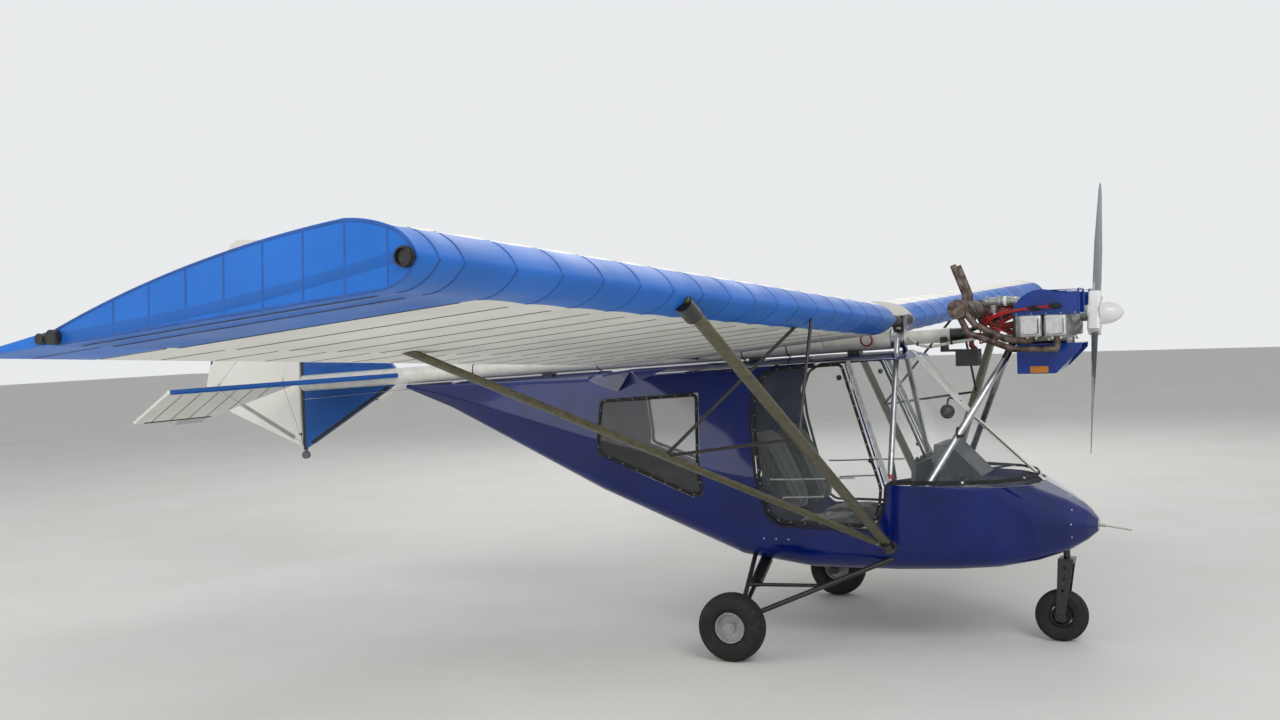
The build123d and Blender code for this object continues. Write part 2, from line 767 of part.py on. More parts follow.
def tyre_ring(x, z, y, outer, width, rim):
    height = (outer - rim) / 2 - clear
    edge = [(y + wide * width / 2, rim / 2 + clear + up * height) for up, wide in tyre_outline]
    other = [(2 * y - side, radius) for side, radius in reversed(edge)]
    with BuildSketch(wheel_plane(x, z)) as section:
        with BuildLine():
            Polyline(*edge, *other, close=True)
        make_face()
    revolve(section.sketch, axis=Axis((x, 0, z), (0, 1, 0)))


def rim_disc(x, z, y, rim, width, bore):
    with BuildSketch(wheel_plane(x, z)) as section:
        with BuildLine():
            Polyline(
                (y - width / 2, bore / 2), (y + width / 2, bore / 2), (y + width / 2, bore / 2 + 14),
                (y + width * 0.12, bore / 2 + 18), (y + width * 0.12, rim / 2 - 12),
                (y + width * 0.36, rim / 2 - 6), (y + width * 0.36, rim / 2),
                (y - width * 0.36, rim / 2), (y - width * 0.36, rim / 2 - 6),
                (y - width * 0.12, rim / 2 - 12), (y - width * 0.12, bore / 2 + 18),
                (y - width / 2, bore / 2 + 14), close=True,
            )
        make_face()
    revolve(section.sketch, axis=Axis((x, 0, z), (0, 1, 0)))


with BuildPart() as main_tyre:
    tyre_ring(axle_x, axle_z, track_half, main_tyre_d, main_tyre_w, main_rim_d)
save_pair(main_tyre.part, "main_tyre")
with BuildPart() as main_rim:
    rim_disc(axle_x, axle_z, track_half, main_rim_d, 90, axle_d + 0.2)
save_pair(main_rim.part, "main_wheel")

# Nose gear
nose_axle_z = nose_tyre_d / 2
with BuildPart() as nose_tyre:
    tyre_ring(nose_axle_x, nose_axle_z, 0, nose_tyre_d, nose_tyre_w, nose_rim_d)
save(nose_tyre.part, "nose_tyre")
with BuildPart() as nose_rim:
    rim_disc(nose_axle_x, nose_axle_z, 0, nose_rim_d, nose_tyre_w - 14, 20 + 0.2)
save(nose_rim.part, "nose_wheel")

with BuildPart() as nose_fork:
    plate_y = nose_tyre_w / 2 + fork_gap
    for y in (plate_y, -plate_y - fork_plate):
        slab(
            ((840 - 24, nose_axle_z - 24), (840 + 24, nose_axle_z - 24),
             (915, fork_crown_z), (835, fork_crown_z)),
            y, y + fork_plate,
        )
    slab(
        ((835, fork_crown_z - 24), (915, fork_crown_z - 24), (915, fork_crown_z), (835, fork_crown_z)),
        -plate_y - fork_plate, plate_y + fork_plate,
    )
    for share in (0.45, 0.65, 0.85):
        hole_x = nose_axle_x + share * 35
        hole_z = nose_axle_z + share * (fork_crown_z - nose_axle_z)
        tube((hole_x, -100, hole_z), (hole_x, 100, hole_z), 16, mode=Mode.SUBTRACT)
    axle_end = plate_y + fork_plate + 10
    tube((nose_axle_x, -axle_end, nose_axle_z), (nose_axle_x, axle_end, nose_axle_z), 20)
    tube((steer_x, 0, fork_crown_z - 10), (steer_x, 0, steer_top), steer_tube_d)
save(nose_fork.part, "nose_fork")

# Tail surfaces
fin_thickness = 28
rudder_x = post_x - post_d / 2 - 6 - 14
rudder_nose_r = 14
hinge_station = rudder_x - wing_x


def boom_top(station):
    return boom_axis_z(station) + boom_d / 2 + 2 * clear


def boom_bottom(station):
    return boom_axis_z(station) - boom_d / 2 - 2 * clear


with BuildPart() as tail_post:
    tube((post_x, 0, post_bottom), (post_x, 0, post_top), post_d)
    for z in (1120, 1750, 2350):
        with BuildSketch(Plane.XY.offset(z - 4)) as tongue:
            with Locations(((post_x + rudder_x) / 2, 0)):
                Rectangle(post_x - rudder_x, 14)
            with Locations((rudder_x, 0)):
                Circle(7)
        extrude(tongue.sketch, amount=8)
        tube((rudder_x, 0, z - 20), (rudder_x, 0, z + 20), pin_d)
save(tail_post.part, "tail_post")

fin_back = post_x - wing_x + post_d / 2 + clear
with BuildPart() as fin:
    slab(((-3440, boom_top(-3440)), (fin_back, boom_top(fin_back)), (fin_back, post_top - 10)),
         -fin_thickness / 2, fin_thickness / 2)
save(fin.part, "fin")
with BuildPart() as ventral_fin:
    slab(((-3449, boom_bottom(-3449)), (fin_back, boom_bottom(fin_back)), (fin_back, post_bottom + 10)),
         -fin_thickness / 2, fin_thickness / 2)
save(ventral_fin.part, "ventral_fin")

with BuildPart() as rudder:
    slab(((hinge_station, 1040), (-4865, 1278), (-5080, 1467), (-5010, 1718), (-4850, 2400),
          (-4800, 2470), (-4740, 2500), (hinge_station, 2460)), -11, 11)
    tube((rudder_x, 0, 1040), (rudder_x, 0, 2460), 2 * rudder_nose_r)
    for z in (1120, 1750, 2350):
        with BuildSketch(Plane.XY.offset(z - 10)) as slot:
            with Locations((rudder_x + 6, 0)):
                Rectangle(2 * rudder_nose_r + 12, 50)
        extrude(slot.sketch, amount=20, mode=Mode.SUBTRACT)
        tube((rudder_x, 0, z - 22), (rudder_x, 0, z + 22), pin_d + 2 * pin_clear, mode=Mode.SUBTRACT)
save(rudder.part, "rudder")

# Stabiliser frame: x aft, y to port, along the boom
stab_rise = 6
tail_frame = Plane(
    origin=(wing_x, 0, boom_z + stab_rise), x_dir=(-1, 0, -boom_slope), z_dir=(-boom_slope, 0, 1),
)
stab_end = 4180
elevator_nose_r = 13
elevator_hinge = stab_end + 6 + elevator_nose_r
elevator_hinges = (400, 1000)
stab_base = boom_d / 2 + 2 * clear


def tail_slab(points, thickness, lift=0, mode=Mode.ADD, plane=tail_frame):
    with BuildSketch(plane.offset(lift - thickness / 2)) as plan:
        with BuildLine():
            Polyline(*[(aft, -y) for aft, y in points], close=True)
        make_face()
    extrude(plan.sketch, amount=thickness, mode=mode)


def tail_point(aft, y, lift=0):
    return tuple(tail_frame.from_local_coords((aft, -y, lift)))


with BuildPart() as stabiliser:
    tail_slab(((3388, stab_base), (stab_end, stab_base), (stab_end, stab_half_span),
               (stab_end - 30, stab_half_span)), stab_thickness)
    for y in elevator_hinges:
        tail_slab(((stab_end - 10, y - 4), (elevator_hinge, y - 4), (elevator_hinge, y + 4),
                   (stab_end - 10, y + 4)), 12)
        tube(tail_point(elevator_hinge, y - 4), tail_point(elevator_hinge, y + 4), 14)
        tube(tail_point(elevator_hinge, y - 20), tail_point(elevator_hinge, y + 20), pin_d)
    tube(tail_point(3388, 30), tail_point(stab_end - 20, stab_half_span), stab_thickness)
    tube(boom_point(-3200), boom_point(-3600), boom_d + 2 * clear, mode=Mode.SUBTRACT)
save_pair(stabiliser.part, "stabiliser")

hinge_line = tail_point(elevator_hinge, 0)
droop = radians(elevator_droop) + atan2(boom_slope, 1)
elevator_frame = Plane(
    origin=hinge_line, x_dir=(-cos(droop), 0, -sin(droop)), z_dir=(-sin(droop), 0, cos(droop)),
)
elevator_root = 100
elevator_reach = elevator_chord - elevator_nose_r
tab_inner, tab_outer = 640, 900


def elevator_point(aft, y, lift=0):
    return tuple(elevator_frame.from_local_coords((aft, -y, lift)))


with BuildPart() as elevator:
    tail_slab(((0, elevator_root), (0, stab_half_span), (elevator_reach, stab_half_span),
               (elevator_reach, tab_inner - 20)), 16, plane=elevator_frame)
    tube(elevator_point(0, elevator_root), elevator_point(0, stab_half_span), 2 * elevator_nose_r)
    for y in elevator_hinges:
        tail_slab(((-20, y - 10), (18, y - 10), (18, y + 10), (-20, y + 10)), 60,
                  mode=Mode.SUBTRACT, plane=elevator_frame)
        tube(elevator_point(0, y - 22), elevator_point(0, y + 22), pin_d + 2 * pin_clear,
             mode=Mode.SUBTRACT)
save_pair(elevator.part, "elevator")

with BuildPart() as trim_tab:
    tail_slab(((elevator_reach + clear, -tab_inner), (elevator_reach + clear, -tab_outer),
               (elevator_reach + 75, -tab_outer), (elevator_reach + 75, -tab_inner)),
              4, plane=elevator_frame)
save(trim_tab.part, "trim_tab")

with BuildPart() as tail_skid:
    tube((post_x, 0, post_bottom - clear), (post_x, 0, post_bottom - 26), 24)
    tube((post_x, -16, post_bottom - 40), (post_x, 16, post_bottom - 40), 52)
save(tail_skid.part, "tail_skid")

# Cabin fittings
seat_base_z = 605
keel_d = 44
bar_d = 30
seat_w = 400
seat_y = 225
with BuildPart() as seat:
    with BuildSketch(Plane.XZ.offset(-(seat_y - seat_w / 2))) as side:
        with BuildLine():
            Polyline(*[(wing_x + x, z) for x, z in (
                (-160, 605), (-170, 690), (-520, 660), (-760, 1230), (-850, 1200), (-640, 605))], close=True)
        make_face()
    extrude(side.sketch, amount=-seat_w)
    fillet(seat.edges().filter_by(Axis.Y), 20)
save_pair(seat.part, "seat")

with BuildPart() as cabin_frame:
    tube(at((-900, 0, 478)), at((-560, 0, 452)), keel_d)
    tube(at((-560, 0, 452)), at((860, 0, 500)), keel_d)
    bar_z = seat_base_z - clear - bar_d / 2
    for x in (-210, -600):
        tube(at((x, -600, bar_z)), at((x, 600, bar_z)), bar_d)
        tube(at((x, 0, bar_z)), at((x, 0, 460)), bar_d)
    tube((steer_x, 0, 520), (steer_x, 0, steer_top), steer_tube_d + 24)
    tube((steer_x, 0, 400), (steer_x, 0, 700), steer_tube_d + 0.1, mode=Mode.SUBTRACT)
    add(lining, mode=Mode.INTERSECT)
save(cabin_frame.part, "cabin_frame")

with BuildPart() as panel:
    slab(((190, 905), (215, 1075), (300, 1075), (470, 905)), -170, 170)
    slab(((170, 880), (170, 1000), (192, 1000), (192, 880)), -600, 600)
    add(lining, mode=Mode.INTERSECT)
    for top, foot in ((leg_top, leg_foot), (mirrored(leg_top), mirrored(leg_foot))):
        tube(at(top), at(foot), leg_d + 12, mode=Mode.SUBTRACT)
save(panel.part, "instrument_panel")

with BuildPart() as stick:
    tube(at((-20, 0, 470)), at((-60, 0, 860)), 24)
    tube(at((-60, 0, 860)), at((-75, 0, 980)), 34)
    tube(at((-560, 0, 452)), at((860, 0, 500)), keel_d + 2 * clear, mode=Mode.SUBTRACT)
save(stick.part, "control_stick")

with BuildPart() as pedals:
    for y in (-250, -120, 120, 250):
        tube(at((480, y - 40, 640)), at((480, y + 40, 640)), 22)
        tube(at((480, y, 640)), at((470, y, 521)), 20)
    tube(at((470, -265, 521)), at((470, 265, 521)), 24)
save(pedals.part, "rudder_pedals")

pitot_root = (1040, 0, 635.3)
pitot_tip = (1210, 0, 610)
pitot_d = 9
pitot_length = 130
with BuildPart() as pitot:
    shoulder = part_way(pitot_tip, pitot_root, pitot_length / length(pitot_tip, pitot_root))
    tube(at(pitot_root), at(shoulder), 16)
    seat_x = nose_x + clear
    slab(((seat_x - 20, 600), (seat_x, 600), (seat_x, 660), (seat_x - 20, 660)), -20, 20,
         Mode.SUBTRACT)
    tube(at(shoulder), at(pitot_tip), pitot_d)
save(pitot.part, "pitot_tube")

with BuildPart() as control_box:
    slab(((345, 1500), (465, 1500), (465, 1590), (345, 1590)), -160, -60)
    slab(((250, 1578), (347, 1578), (347, 1590), (275, 1590), (275, 1660), (250, 1660)), -100, 0)
    tube(boom_point(0), boom_point(stub_end + 10), stub_d + 2 * clear, mode=Mode.SUBTRACT)
save(control_box.part, "ignition_box")

strip_w = 64
with BuildPart() as strip:
    add(pod_form(-4))
    add(seat_form, mode=Mode.SUBTRACT)
    slab(((745, 860), (800, 880), (900, 1700), (66, 1700), (66, 1560)), -strip_w / 2, strip_w / 2,
         Mode.INTERSECT)
save(strip.part, "windscreen_strip")
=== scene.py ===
import json
import math

import bmesh
import bpy
from mathutils import Matrix, Vector
from mathutils.bvhtree import BVHTree

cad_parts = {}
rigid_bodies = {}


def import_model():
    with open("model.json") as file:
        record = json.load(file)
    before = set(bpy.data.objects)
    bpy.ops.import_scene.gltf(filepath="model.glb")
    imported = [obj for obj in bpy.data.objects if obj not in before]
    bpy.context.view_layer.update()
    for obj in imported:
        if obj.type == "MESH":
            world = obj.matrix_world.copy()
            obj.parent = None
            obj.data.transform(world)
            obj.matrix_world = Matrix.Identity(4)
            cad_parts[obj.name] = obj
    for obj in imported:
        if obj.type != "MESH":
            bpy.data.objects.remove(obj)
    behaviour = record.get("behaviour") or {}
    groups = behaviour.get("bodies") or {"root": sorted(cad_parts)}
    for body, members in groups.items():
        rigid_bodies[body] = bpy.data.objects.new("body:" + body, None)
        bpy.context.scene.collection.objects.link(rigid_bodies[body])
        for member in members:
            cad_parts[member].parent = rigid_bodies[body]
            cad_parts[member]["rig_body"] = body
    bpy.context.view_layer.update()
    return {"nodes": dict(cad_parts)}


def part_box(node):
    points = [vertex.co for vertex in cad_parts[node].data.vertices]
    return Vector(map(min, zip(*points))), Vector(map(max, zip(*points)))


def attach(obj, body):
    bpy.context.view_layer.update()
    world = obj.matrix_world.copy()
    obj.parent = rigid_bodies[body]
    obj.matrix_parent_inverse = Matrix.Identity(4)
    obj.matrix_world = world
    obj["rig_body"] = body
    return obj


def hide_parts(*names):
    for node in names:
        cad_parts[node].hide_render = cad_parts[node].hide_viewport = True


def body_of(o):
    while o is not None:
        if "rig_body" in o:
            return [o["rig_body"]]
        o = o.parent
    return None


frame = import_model()
nodes = frame["nodes"]

# Places shared by many pieces, in metres: x forward, y to port, z up
wingX = 1.935
ribSpacing = 0.272
dihedral = math.radians(2.5)
sides = ((1, "left"), (-1, "right"))


def bodyOf(node):
    return body_of(nodes[node])[0]


# A place given by its distance ahead of the wing's leading tube
def at(ahead, y, z):
    return Vector((wingX + ahead, y, z))


# Camera: the photograph's viewpoint, near the starboard side and at wing height
camera = {"place": (3.961, -7.692, 1.758), "yaw": 25.395, "pitch": -1.237, "roll": -2.0615, "lens": 39.02}


def addCamera():
    yaw, pitch, roll = (math.radians(camera[k]) for k in ("yaw", "pitch", "roll"))
    forward = Vector((-math.sin(yaw) * math.cos(pitch), math.cos(yaw) * math.cos(pitch), math.sin(pitch)))
    right = Vector((math.cos(yaw), math.sin(yaw), 0))
    up = right.cross(forward)
    right, up = (
        right * math.cos(roll) + up * math.sin(roll),
        up * math.cos(roll) - right * math.sin(roll),
    )
    data = bpy.data.cameras.new("photoCamera")
    data.lens = camera["lens"]
    data.clip_end = 200
    obj = bpy.data.objects.new("photoCamera", data)
    turned = Matrix((right, up, -forward)).transposed().to_4x4()
    obj.matrix_world = Matrix.Translation(camera["place"]) @ turned
    bpy.context.scene.collection.objects.link(obj)
    bpy.context.scene.camera = obj


addCamera()
print("camera placed")


# Materials
def hexColour(code):
    channels = [int(code[i:i + 2], 16) / 255 for i in (0, 2, 4)]
    return tuple(c / 12.92 if c <= 0.04045 else ((c + 0.055) / 1.055) ** 2.4 for c in channels) + (1,)


def addNode(tree, kind, settings=None, links=None):
    node = tree.nodes.new(kind)
    for key, value in (settings or {}).items():
        if hasattr(node, key) and key not in node.inputs:
            setattr(node, key, value)
        else:
            node.inputs[key].default_value = value
    for socket, source in (links or {}).items():
        tree.links.new(source, node.inputs[socket])
    return node


def baseMaterial(name, colour, settings):
    made = bpy.data.materials.new(name)
    made.use_nodes = True
    made.diffuse_color = hexColour(colour)
    shader = made.node_tree.nodes["Principled BSDF"]
    shader.inputs["Base Color"].default_value = hexColour(colour)
    for socket, value in settings.items():
        shader.inputs[socket].default_value = value
    return made, made.node_tree, shader


# Noise whose blotches are about sizeMm across on the object
def noiseAcross(tree, sizeMm, detail=3.0, stretch=(1, 1, 1)):
    coords = addNode(tree, "ShaderNodeTexCoord")
    place = addNode(tree, "ShaderNodeMapping", {"Scale": stretch}, {"Vector": coords.outputs["Object"]})
    return addNode(tree, "ShaderNodeTexNoise", {"Scale": 1000 / sizeMm, "Detail": detail},
                   {"Vector": place.outputs["Vector"]})


# Bumps are given finest last: (size in mm, height in m, strength, stretch)
def addGrain(tree, shader, grains):
    normal = None
    for sizeMm, height, strength, stretch in grains:
        blotch = noiseAcross(tree, sizeMm, 3.0, stretch)
        links = {"Height": blotch.outputs["Fac"]}
        if normal:
            links["Normal"] = normal
        bump = addNode(tree, "ShaderNodeBump", {"Strength": strength, "Distance": height}, links)
        normal = bump.outputs["Normal"]
    tree.links.new(normal, shader.inputs["Normal"])


def addMottle(tree, shader, darker, lighter, sizeMm, detail=4.0, contrast=(0.35, 0.7), stretch=(1, 1, 1)):
    blotch = noiseAcross(tree, sizeMm, detail, stretch)
    ramp = addNode(tree, "ShaderNodeValToRGB", links={"Fac": blotch.outputs["Fac"]})
    ramp.color_ramp.elements[0].position, ramp.color_ramp.elements[1].position = contrast
    ramp.color_ramp.elements[0].color = hexColour(darker)
    ramp.color_ramp.elements[1].color = hexColour(lighter)
    tree.links.new(ramp.outputs["Color"], shader.inputs["Base Color"])


def addRoughPatches(tree, shader, low, high, sizeMm):
    blotch = noiseAcross(tree, sizeMm, 5.0)
    ends = {"From Min": 0.3, "From Max": 0.7, "To Min": low, "To Max": high}
    spread = addNode(tree, "ShaderNodeMapRange", ends, {"Value": blotch.outputs["Fac"]})
    tree.links.new(spread.outputs["Result"], shader.inputs["Roughness"])


even = (1, 1, 1)


def gelcoat(name, colour, darker, rough=0.12):
    # Sprayed gloss gelcoat over glass laminate: deep colour, sharp highlights, long faint waves in them
    made, tree, shader = baseMaterial(name, colour, {
        "Roughness": rough, "Coat Weight": 0.35, "Coat Roughness": 0.03, "IOR": 1.5,
        "Specular IOR Level": 0.22,
    })
    addMottle(tree, shader, darker, colour, 260)
    addGrain(tree, shader, [(240, 0.0012, 0.12, even), (2.2, 0.00004, 0.06, even)])
    return made


def sailcloth(name, colour, darker):
    # Coated polyester sailcloth: slack wrinkles near the ribs, a satin coat and a fine plain weave; the
    # real threads lie 0.3 mm apart, drawn at 2.5 mm so that they show as a soft grain
    made, tree, shader = baseMaterial(name, colour, {"Roughness": 0.4, "Specular IOR Level": 0.28, "IOR": 1.5})
    addMottle(tree, shader, darker, colour, 420, 5.0)
    addRoughPatches(tree, shader, 0.34, 0.5, 300)
    addGrain(tree, shader, [(160, 0.006, 0.4, (1, 0.35, 1)), (34, 0.0012, 0.16, (1, 0.5, 1)),
                            (2.5, 0.00012, 0.12, even)])
    return made


def twoToneSailcloth(name, colour, outerColour, beyond):
    # The same sailcloth in two panels: white, and blue from beyond metres out along the span
    made = sailcloth(name, colour, colour)
    tree = made.node_tree
    shader = tree.nodes["Principled BSDF"]
    coords = addNode(tree, "ShaderNodeTexCoord")
    split = addNode(tree, "ShaderNodeSeparateXYZ", links={"Vector": coords.outputs["Object"]})
    out = addNode(tree, "ShaderNodeMath", {"operation": "ABSOLUTE"}, {0: split.outputs["Y"]})
    panel = addNode(tree, "ShaderNodeMapRange", {"From Min": beyond, "From Max": beyond + 0.002},
                    {"Value": out.outputs[0]})
    ramp = addNode(tree, "ShaderNodeValToRGB", links={"Fac": panel.outputs["Result"]})
    ramp.color_ramp.elements[0].color = hexColour(colour)
    ramp.color_ramp.elements[1].color = hexColour(outerColour)
    tree.links.new(ramp.outputs["Color"], shader.inputs["Base Color"])
    return made


def drawnTube(name, colour, darker, rough, metallic=1.0):
    # Drawn aluminium tube: satin, with fine die lines and handling marks, dyed where it is anodised
    made, tree, shader = baseMaterial(name, colour, {"Metallic": metallic})
    addMottle(tree, shader, darker, colour, 30, 5.0)
    addRoughPatches(tree, shader, rough - 0.08, rough + 0.1, 14)
    addGrain(tree, shader, [(3, 0.0002, 0.12, even)])
    return made


def sandCast(name, colour, darker):
    # Sand-cast aluminium left raw: grey, matt, with a pebbled skin about 1.5 mm across and oil stains
    made, tree, shader = baseMaterial(name, colour, {"Metallic": 0.9})
    addMottle(tree, shader, darker, colour, 28, 6.0)
    addRoughPatches(tree, shader, 0.36, 0.62, 16)
    addGrain(tree, shader, [(1.5, 0.0003, 0.35, even)])
    return made


def strokedEnamel(name, colour, darker, rough=0.34):
    # Brushed-on or sprayed enamel over steel: slight orange peel about 3 mm across, scuffed duller in patches
    made, tree, shader = baseMaterial(name, colour, {"IOR": 1.5, "Coat Weight": 0.25, "Coat Roughness": 0.15})
    addMottle(tree, shader, darker, colour, 60, 5.0)
    addRoughPatches(tree, shader, rough - 0.08, rough + 0.2, 40)
    addGrain(tree, shader, [(3, 0.0001, 0.25, even)])
    return made


def mouldedPlastic(name, colour, darker, rough=0.5):
    # Injection-moulded or vacuum-formed plastic: fine matt texture about 1 mm across, sun-faded in patches
    made, tree, shader = baseMaterial(name, colour, {"IOR": 1.49})
    addMottle(tree, shader, darker, colour, 70, 4.0)
    addRoughPatches(tree, shader, rough - 0.06, rough + 0.12, 30)
    addGrain(tree, shader, [(1.1, 0.00012, 0.3, even)])
    return made


def wornRubber(name, colour, dusty):
    # Vulcanised rubber: near black, matt, with grey dust in patches and a pebbled skin 2 mm across
    made, tree, shader = baseMaterial(name, colour, {"IOR": 1.52, "Specular IOR Level": 0.35})
    addMottle(tree, shader, colour, dusty, 70, 4.0, (0.3, 0.8))
    addRoughPatches(tree, shader, 0.65, 0.9, 24)
    addGrain(tree, shader, [(2, 0.0003, 0.35, even)])
    return made


def clearSheet(name, colour, lighter, alpha, rough):
    # Clear polycarbonate: almost nothing but its gloss and a pale cast, hazed where it has been wiped
    made, tree, shader = baseMaterial(name, colour, {"IOR": 1.58, "Alpha": alpha, "Specular IOR Level": 0.9})
    addMottle(tree, shader, colour, lighter, 130)
    addRoughPatches(tree, shader, rough, rough + 0.1, 90)
    return made


def scorchedSteel(name):
    # Mild-steel exhaust browned by heat: patches of rust, straw and grey scale, and a scaly grain
    made, tree, shader = baseMaterial(name, "6b5145", {"Metallic": 0.55})
    addMottle(tree, shader, "392a24", "83746a", 42, 6.0)
    addRoughPatches(tree, shader, 0.45, 0.8, 20)
    addGrain(tree, shader, [(9, 0.0004, 0.3, even), (1.6, 0.0002, 0.3, even)])
    return made


def platedSteel(name, colour, rough=0.25):
    # Zinc-plated screws and clips: bright, slightly yellowed in patches
    made, tree, shader = baseMaterial(name, colour, {"Metallic": 1.0})
    addMottle(tree, shader, "8f8f86", colour, 5, 3.0)
    addRoughPatches(tree, shader, rough, rough + 0.15, 3)
    return made


def siliconeHose(name, colour, darker):
    # Silicone rubber leads and hose: strong colour, soft gloss, grimy where they are handled
    made, tree, shader = baseMaterial(name, colour, {"IOR": 1.43})
    addMottle(tree, shader, darker, colour, 24, 5.0)
    addRoughPatches(tree, shader, 0.35, 0.55, 12)
    return made


def wovenCloth(name, colour, lighter):
    # Coarse seat cloth: dark, no gloss, basket weave with threads 1.6 mm apart, drawn at 4 mm to show
    made, tree, shader = baseMaterial(name, colour, {"Roughness": 0.92, "Sheen Weight": 0.3, "IOR": 1.5})
    coords = addNode(tree, "ShaderNodeTexCoord")
    threads = []
    for direction in ("X", "Y"):
        wave = {"bands_direction": direction, "Scale": 1000 / 4 / 20, "Distortion": 0.6}
        threads.append(addNode(tree, "ShaderNodeTexWave", wave, {"Vector": coords.outputs["Object"]}))
    basket = addNode(tree, "ShaderNodeMath", {"operation": "MULTIPLY"},
                     {0: threads[0].outputs["Fac"], 1: threads[1].outputs["Fac"]})
    ramp = addNode(tree, "ShaderNodeValToRGB", links={"Fac": basket.outputs[0]})
    ramp.color_ramp.elements[0].color = hexColour(colour)
    ramp.color_ramp.elements[1].color = hexColour(lighter)
    bump = addNode(tree, "ShaderNodeBump", {"Strength": 0.5, "Distance": 0.0008},
                   {"Height": basket.outputs[0]})
    tree.links.new(ramp.outputs["Color"], shader.inputs["Base Color"])
    tree.links.new(bump.outputs["Normal"], shader.inputs["Normal"])
    return made


def propellerPaint(name, hubColour, bladeColour, axisZ, edge):
    # Laminated blades sprayed grey up to a white hub: the change of colour is a circle round the shaft
    made, tree, shader = baseMaterial(name, bladeColour, {"IOR": 1.5, "Coat Weight": 0.4})
    coords = addNode(tree, "ShaderNodeTexCoord")
    flat = addNode(tree, "ShaderNodeMapping", {"Location": (0, 0, -axisZ), "Scale": (0, 1, 1)},
                   {"Vector": coords.outputs["Object"]})
    reach = addNode(tree, "ShaderNodeVectorMath", {"operation": "LENGTH"}, {0: flat.outputs["Vector"]})
    outside = addNode(tree, "ShaderNodeMapRange", {"From Min": edge, "From Max": edge + 0.004},
                      {"Value": reach.outputs["Value"]})
    ramp = addNode(tree, "ShaderNodeValToRGB", links={"Fac": outside.outputs["Result"]})
    ramp.color_ramp.elements[0].color = hexColour(hubColour)
    ramp.color_ramp.elements[1].color = hexColour(bladeColour)
    tree.links.new(ramp.outputs["Color"], shader.inputs["Base Color"])
    addRoughPatches(tree, shader, 0.26, 0.4, 60)
    addGrain(tree, shader, [(18, 0.0002, 0.1, (1, 1, 0.2))])
    return made


podBlue = gelcoat("gelcoatPodBlue", "081d68", "061654")
ductBlue = gelcoat("gelcoatDuctBlue", "12398f", "0d2c74", 0.2)
spinnerWhite = gelcoat("gelcoatWhite", "e2e3e1", "d6d7d4", 0.24)
sailBlue = sailcloth("sailclothBlue", "1f70cf", "1963ba")
sailWhite = sailcloth("sailclothWhite", "efeee8", "e1e0d8")
aileronCloth = twoToneSailcloth("sailclothAileron", "ebeae3", "1f70cf", 4.3)
# Darker blue painted on the tip panel as the shadow of the compression strut inside the wing, seen through the
# cloth
paintedStrutShadow = sailcloth("sailclothPaintedStrutShadow", "1a61b5", "1758a6")
tailBlue = sailcloth("sailclothTailBlue", "1d5ca8", "164d92")
# Dark grey lines along the batten pockets on wing, ailerons and tail: painted shade of the pockets on the cloth
battenPocketShade = mouldedPlastic("battenPocketShadeLine", "57564f", "44433d", 0.8)
seamBlue = mouldedPlastic("seamTapeBlue", "1b57a6", "164a90", 0.55)
seamPale = mouldedPlastic("seamTapePale", "f0efea", "dcdbd4", 0.5)
hemGrey = mouldedPlastic("greyHemTape", "a9a9a4", "94948f", 0.6)
darkBlueEdge = mouldedPlastic("darkBlueTape", "12224f", "0d1a3e", 0.5)
blackEnamel = strokedEnamel("blackEnamel", "161616", "0e0e0e")
whiteEnamel = strokedEnamel("whiteEnamel", "dddcd5", "cac9c0", 0.36)
wheelEnamel = strokedEnamel("silverWheelEnamel", "a8aaab", "8b8c8b", 0.4)
blackNylon = mouldedPlastic("blackNylon", "1d1d1e", "131314")
greyAbs = mouldedPlastic("greyVacuumFormedAbs", "696c72", "5b5e63")
darkAbs = mouldedPlastic("darkVacuumFormedAbs", "24272e", "1b1d22", 0.45)
orangePlate = mouldedPlastic("orangePlate", "cf7f1b", "b86d14")
redPlastic = mouldedPlastic("redPlasticCap", "a81f19", "8a1711", 0.4)
whitePlastic = mouldedPlastic("whiteNylon", "e9e9e4", "d9d9d2", 0.45)
dialBlack = mouldedPlastic("dialBlack", "0b0b0c", "161617", 0.3)
blackRubber = wornRubber("blackRubber", "121212", "1e1e1d")
tyreRubber = wornRubber("tyreRubber", "171716", "262521")
oliveTube = drawnTube("oliveAnodisedTube", "67634a", "4e4b35", 0.36, 0.4)
satinTube = drawnTube("satinAluminiumTube", "c4c6c8", "a9abad", 0.34)
rawCasting = sandCast("sandCastAluminium", "a6a7a5", "868682")
paleCasting = sandCast("paleRockerCoverCasting", "c6c8c8", "adaea9")
brightScrew = platedSteel("zincPlatedSteel", "c6c7c2")
exhaustSteel = scorchedSteel("scorchedExhaustSteel")
leadRed = siliconeHose("redSiliconeLead", "b0161b", "7c0f12")
ductRed = siliconeHose("redSiliconeDuct", "8f2b1d", "5f1c13")
sleeveWhite = siliconeHose("paleSleeve", "c9c8c0", "a6a59c")
seatCloth = wovenCloth("blackSeatCloth", "16171a", "303237")
webbing = wovenCloth("blackWebbing", "17171a", "2a2a2e")
clearPanel = clearSheet("clearPolycarbonate", "9aa3a5", "b9c0c1", 0.055, 0.03)
# Rear windows: hazed sheet with a dark grey tint, painted shade of the dim cabin behind it
hazedShadeTintPanel = clearSheet("hazedPolycarbonateShadeTint", "4b4e4a", "6a6d68", 0.2, 0.1)
propPaint = propellerPaint("greyPropellerPaint", "e2e3e1", "707377", 1.762, 0.118)
print("materials made")

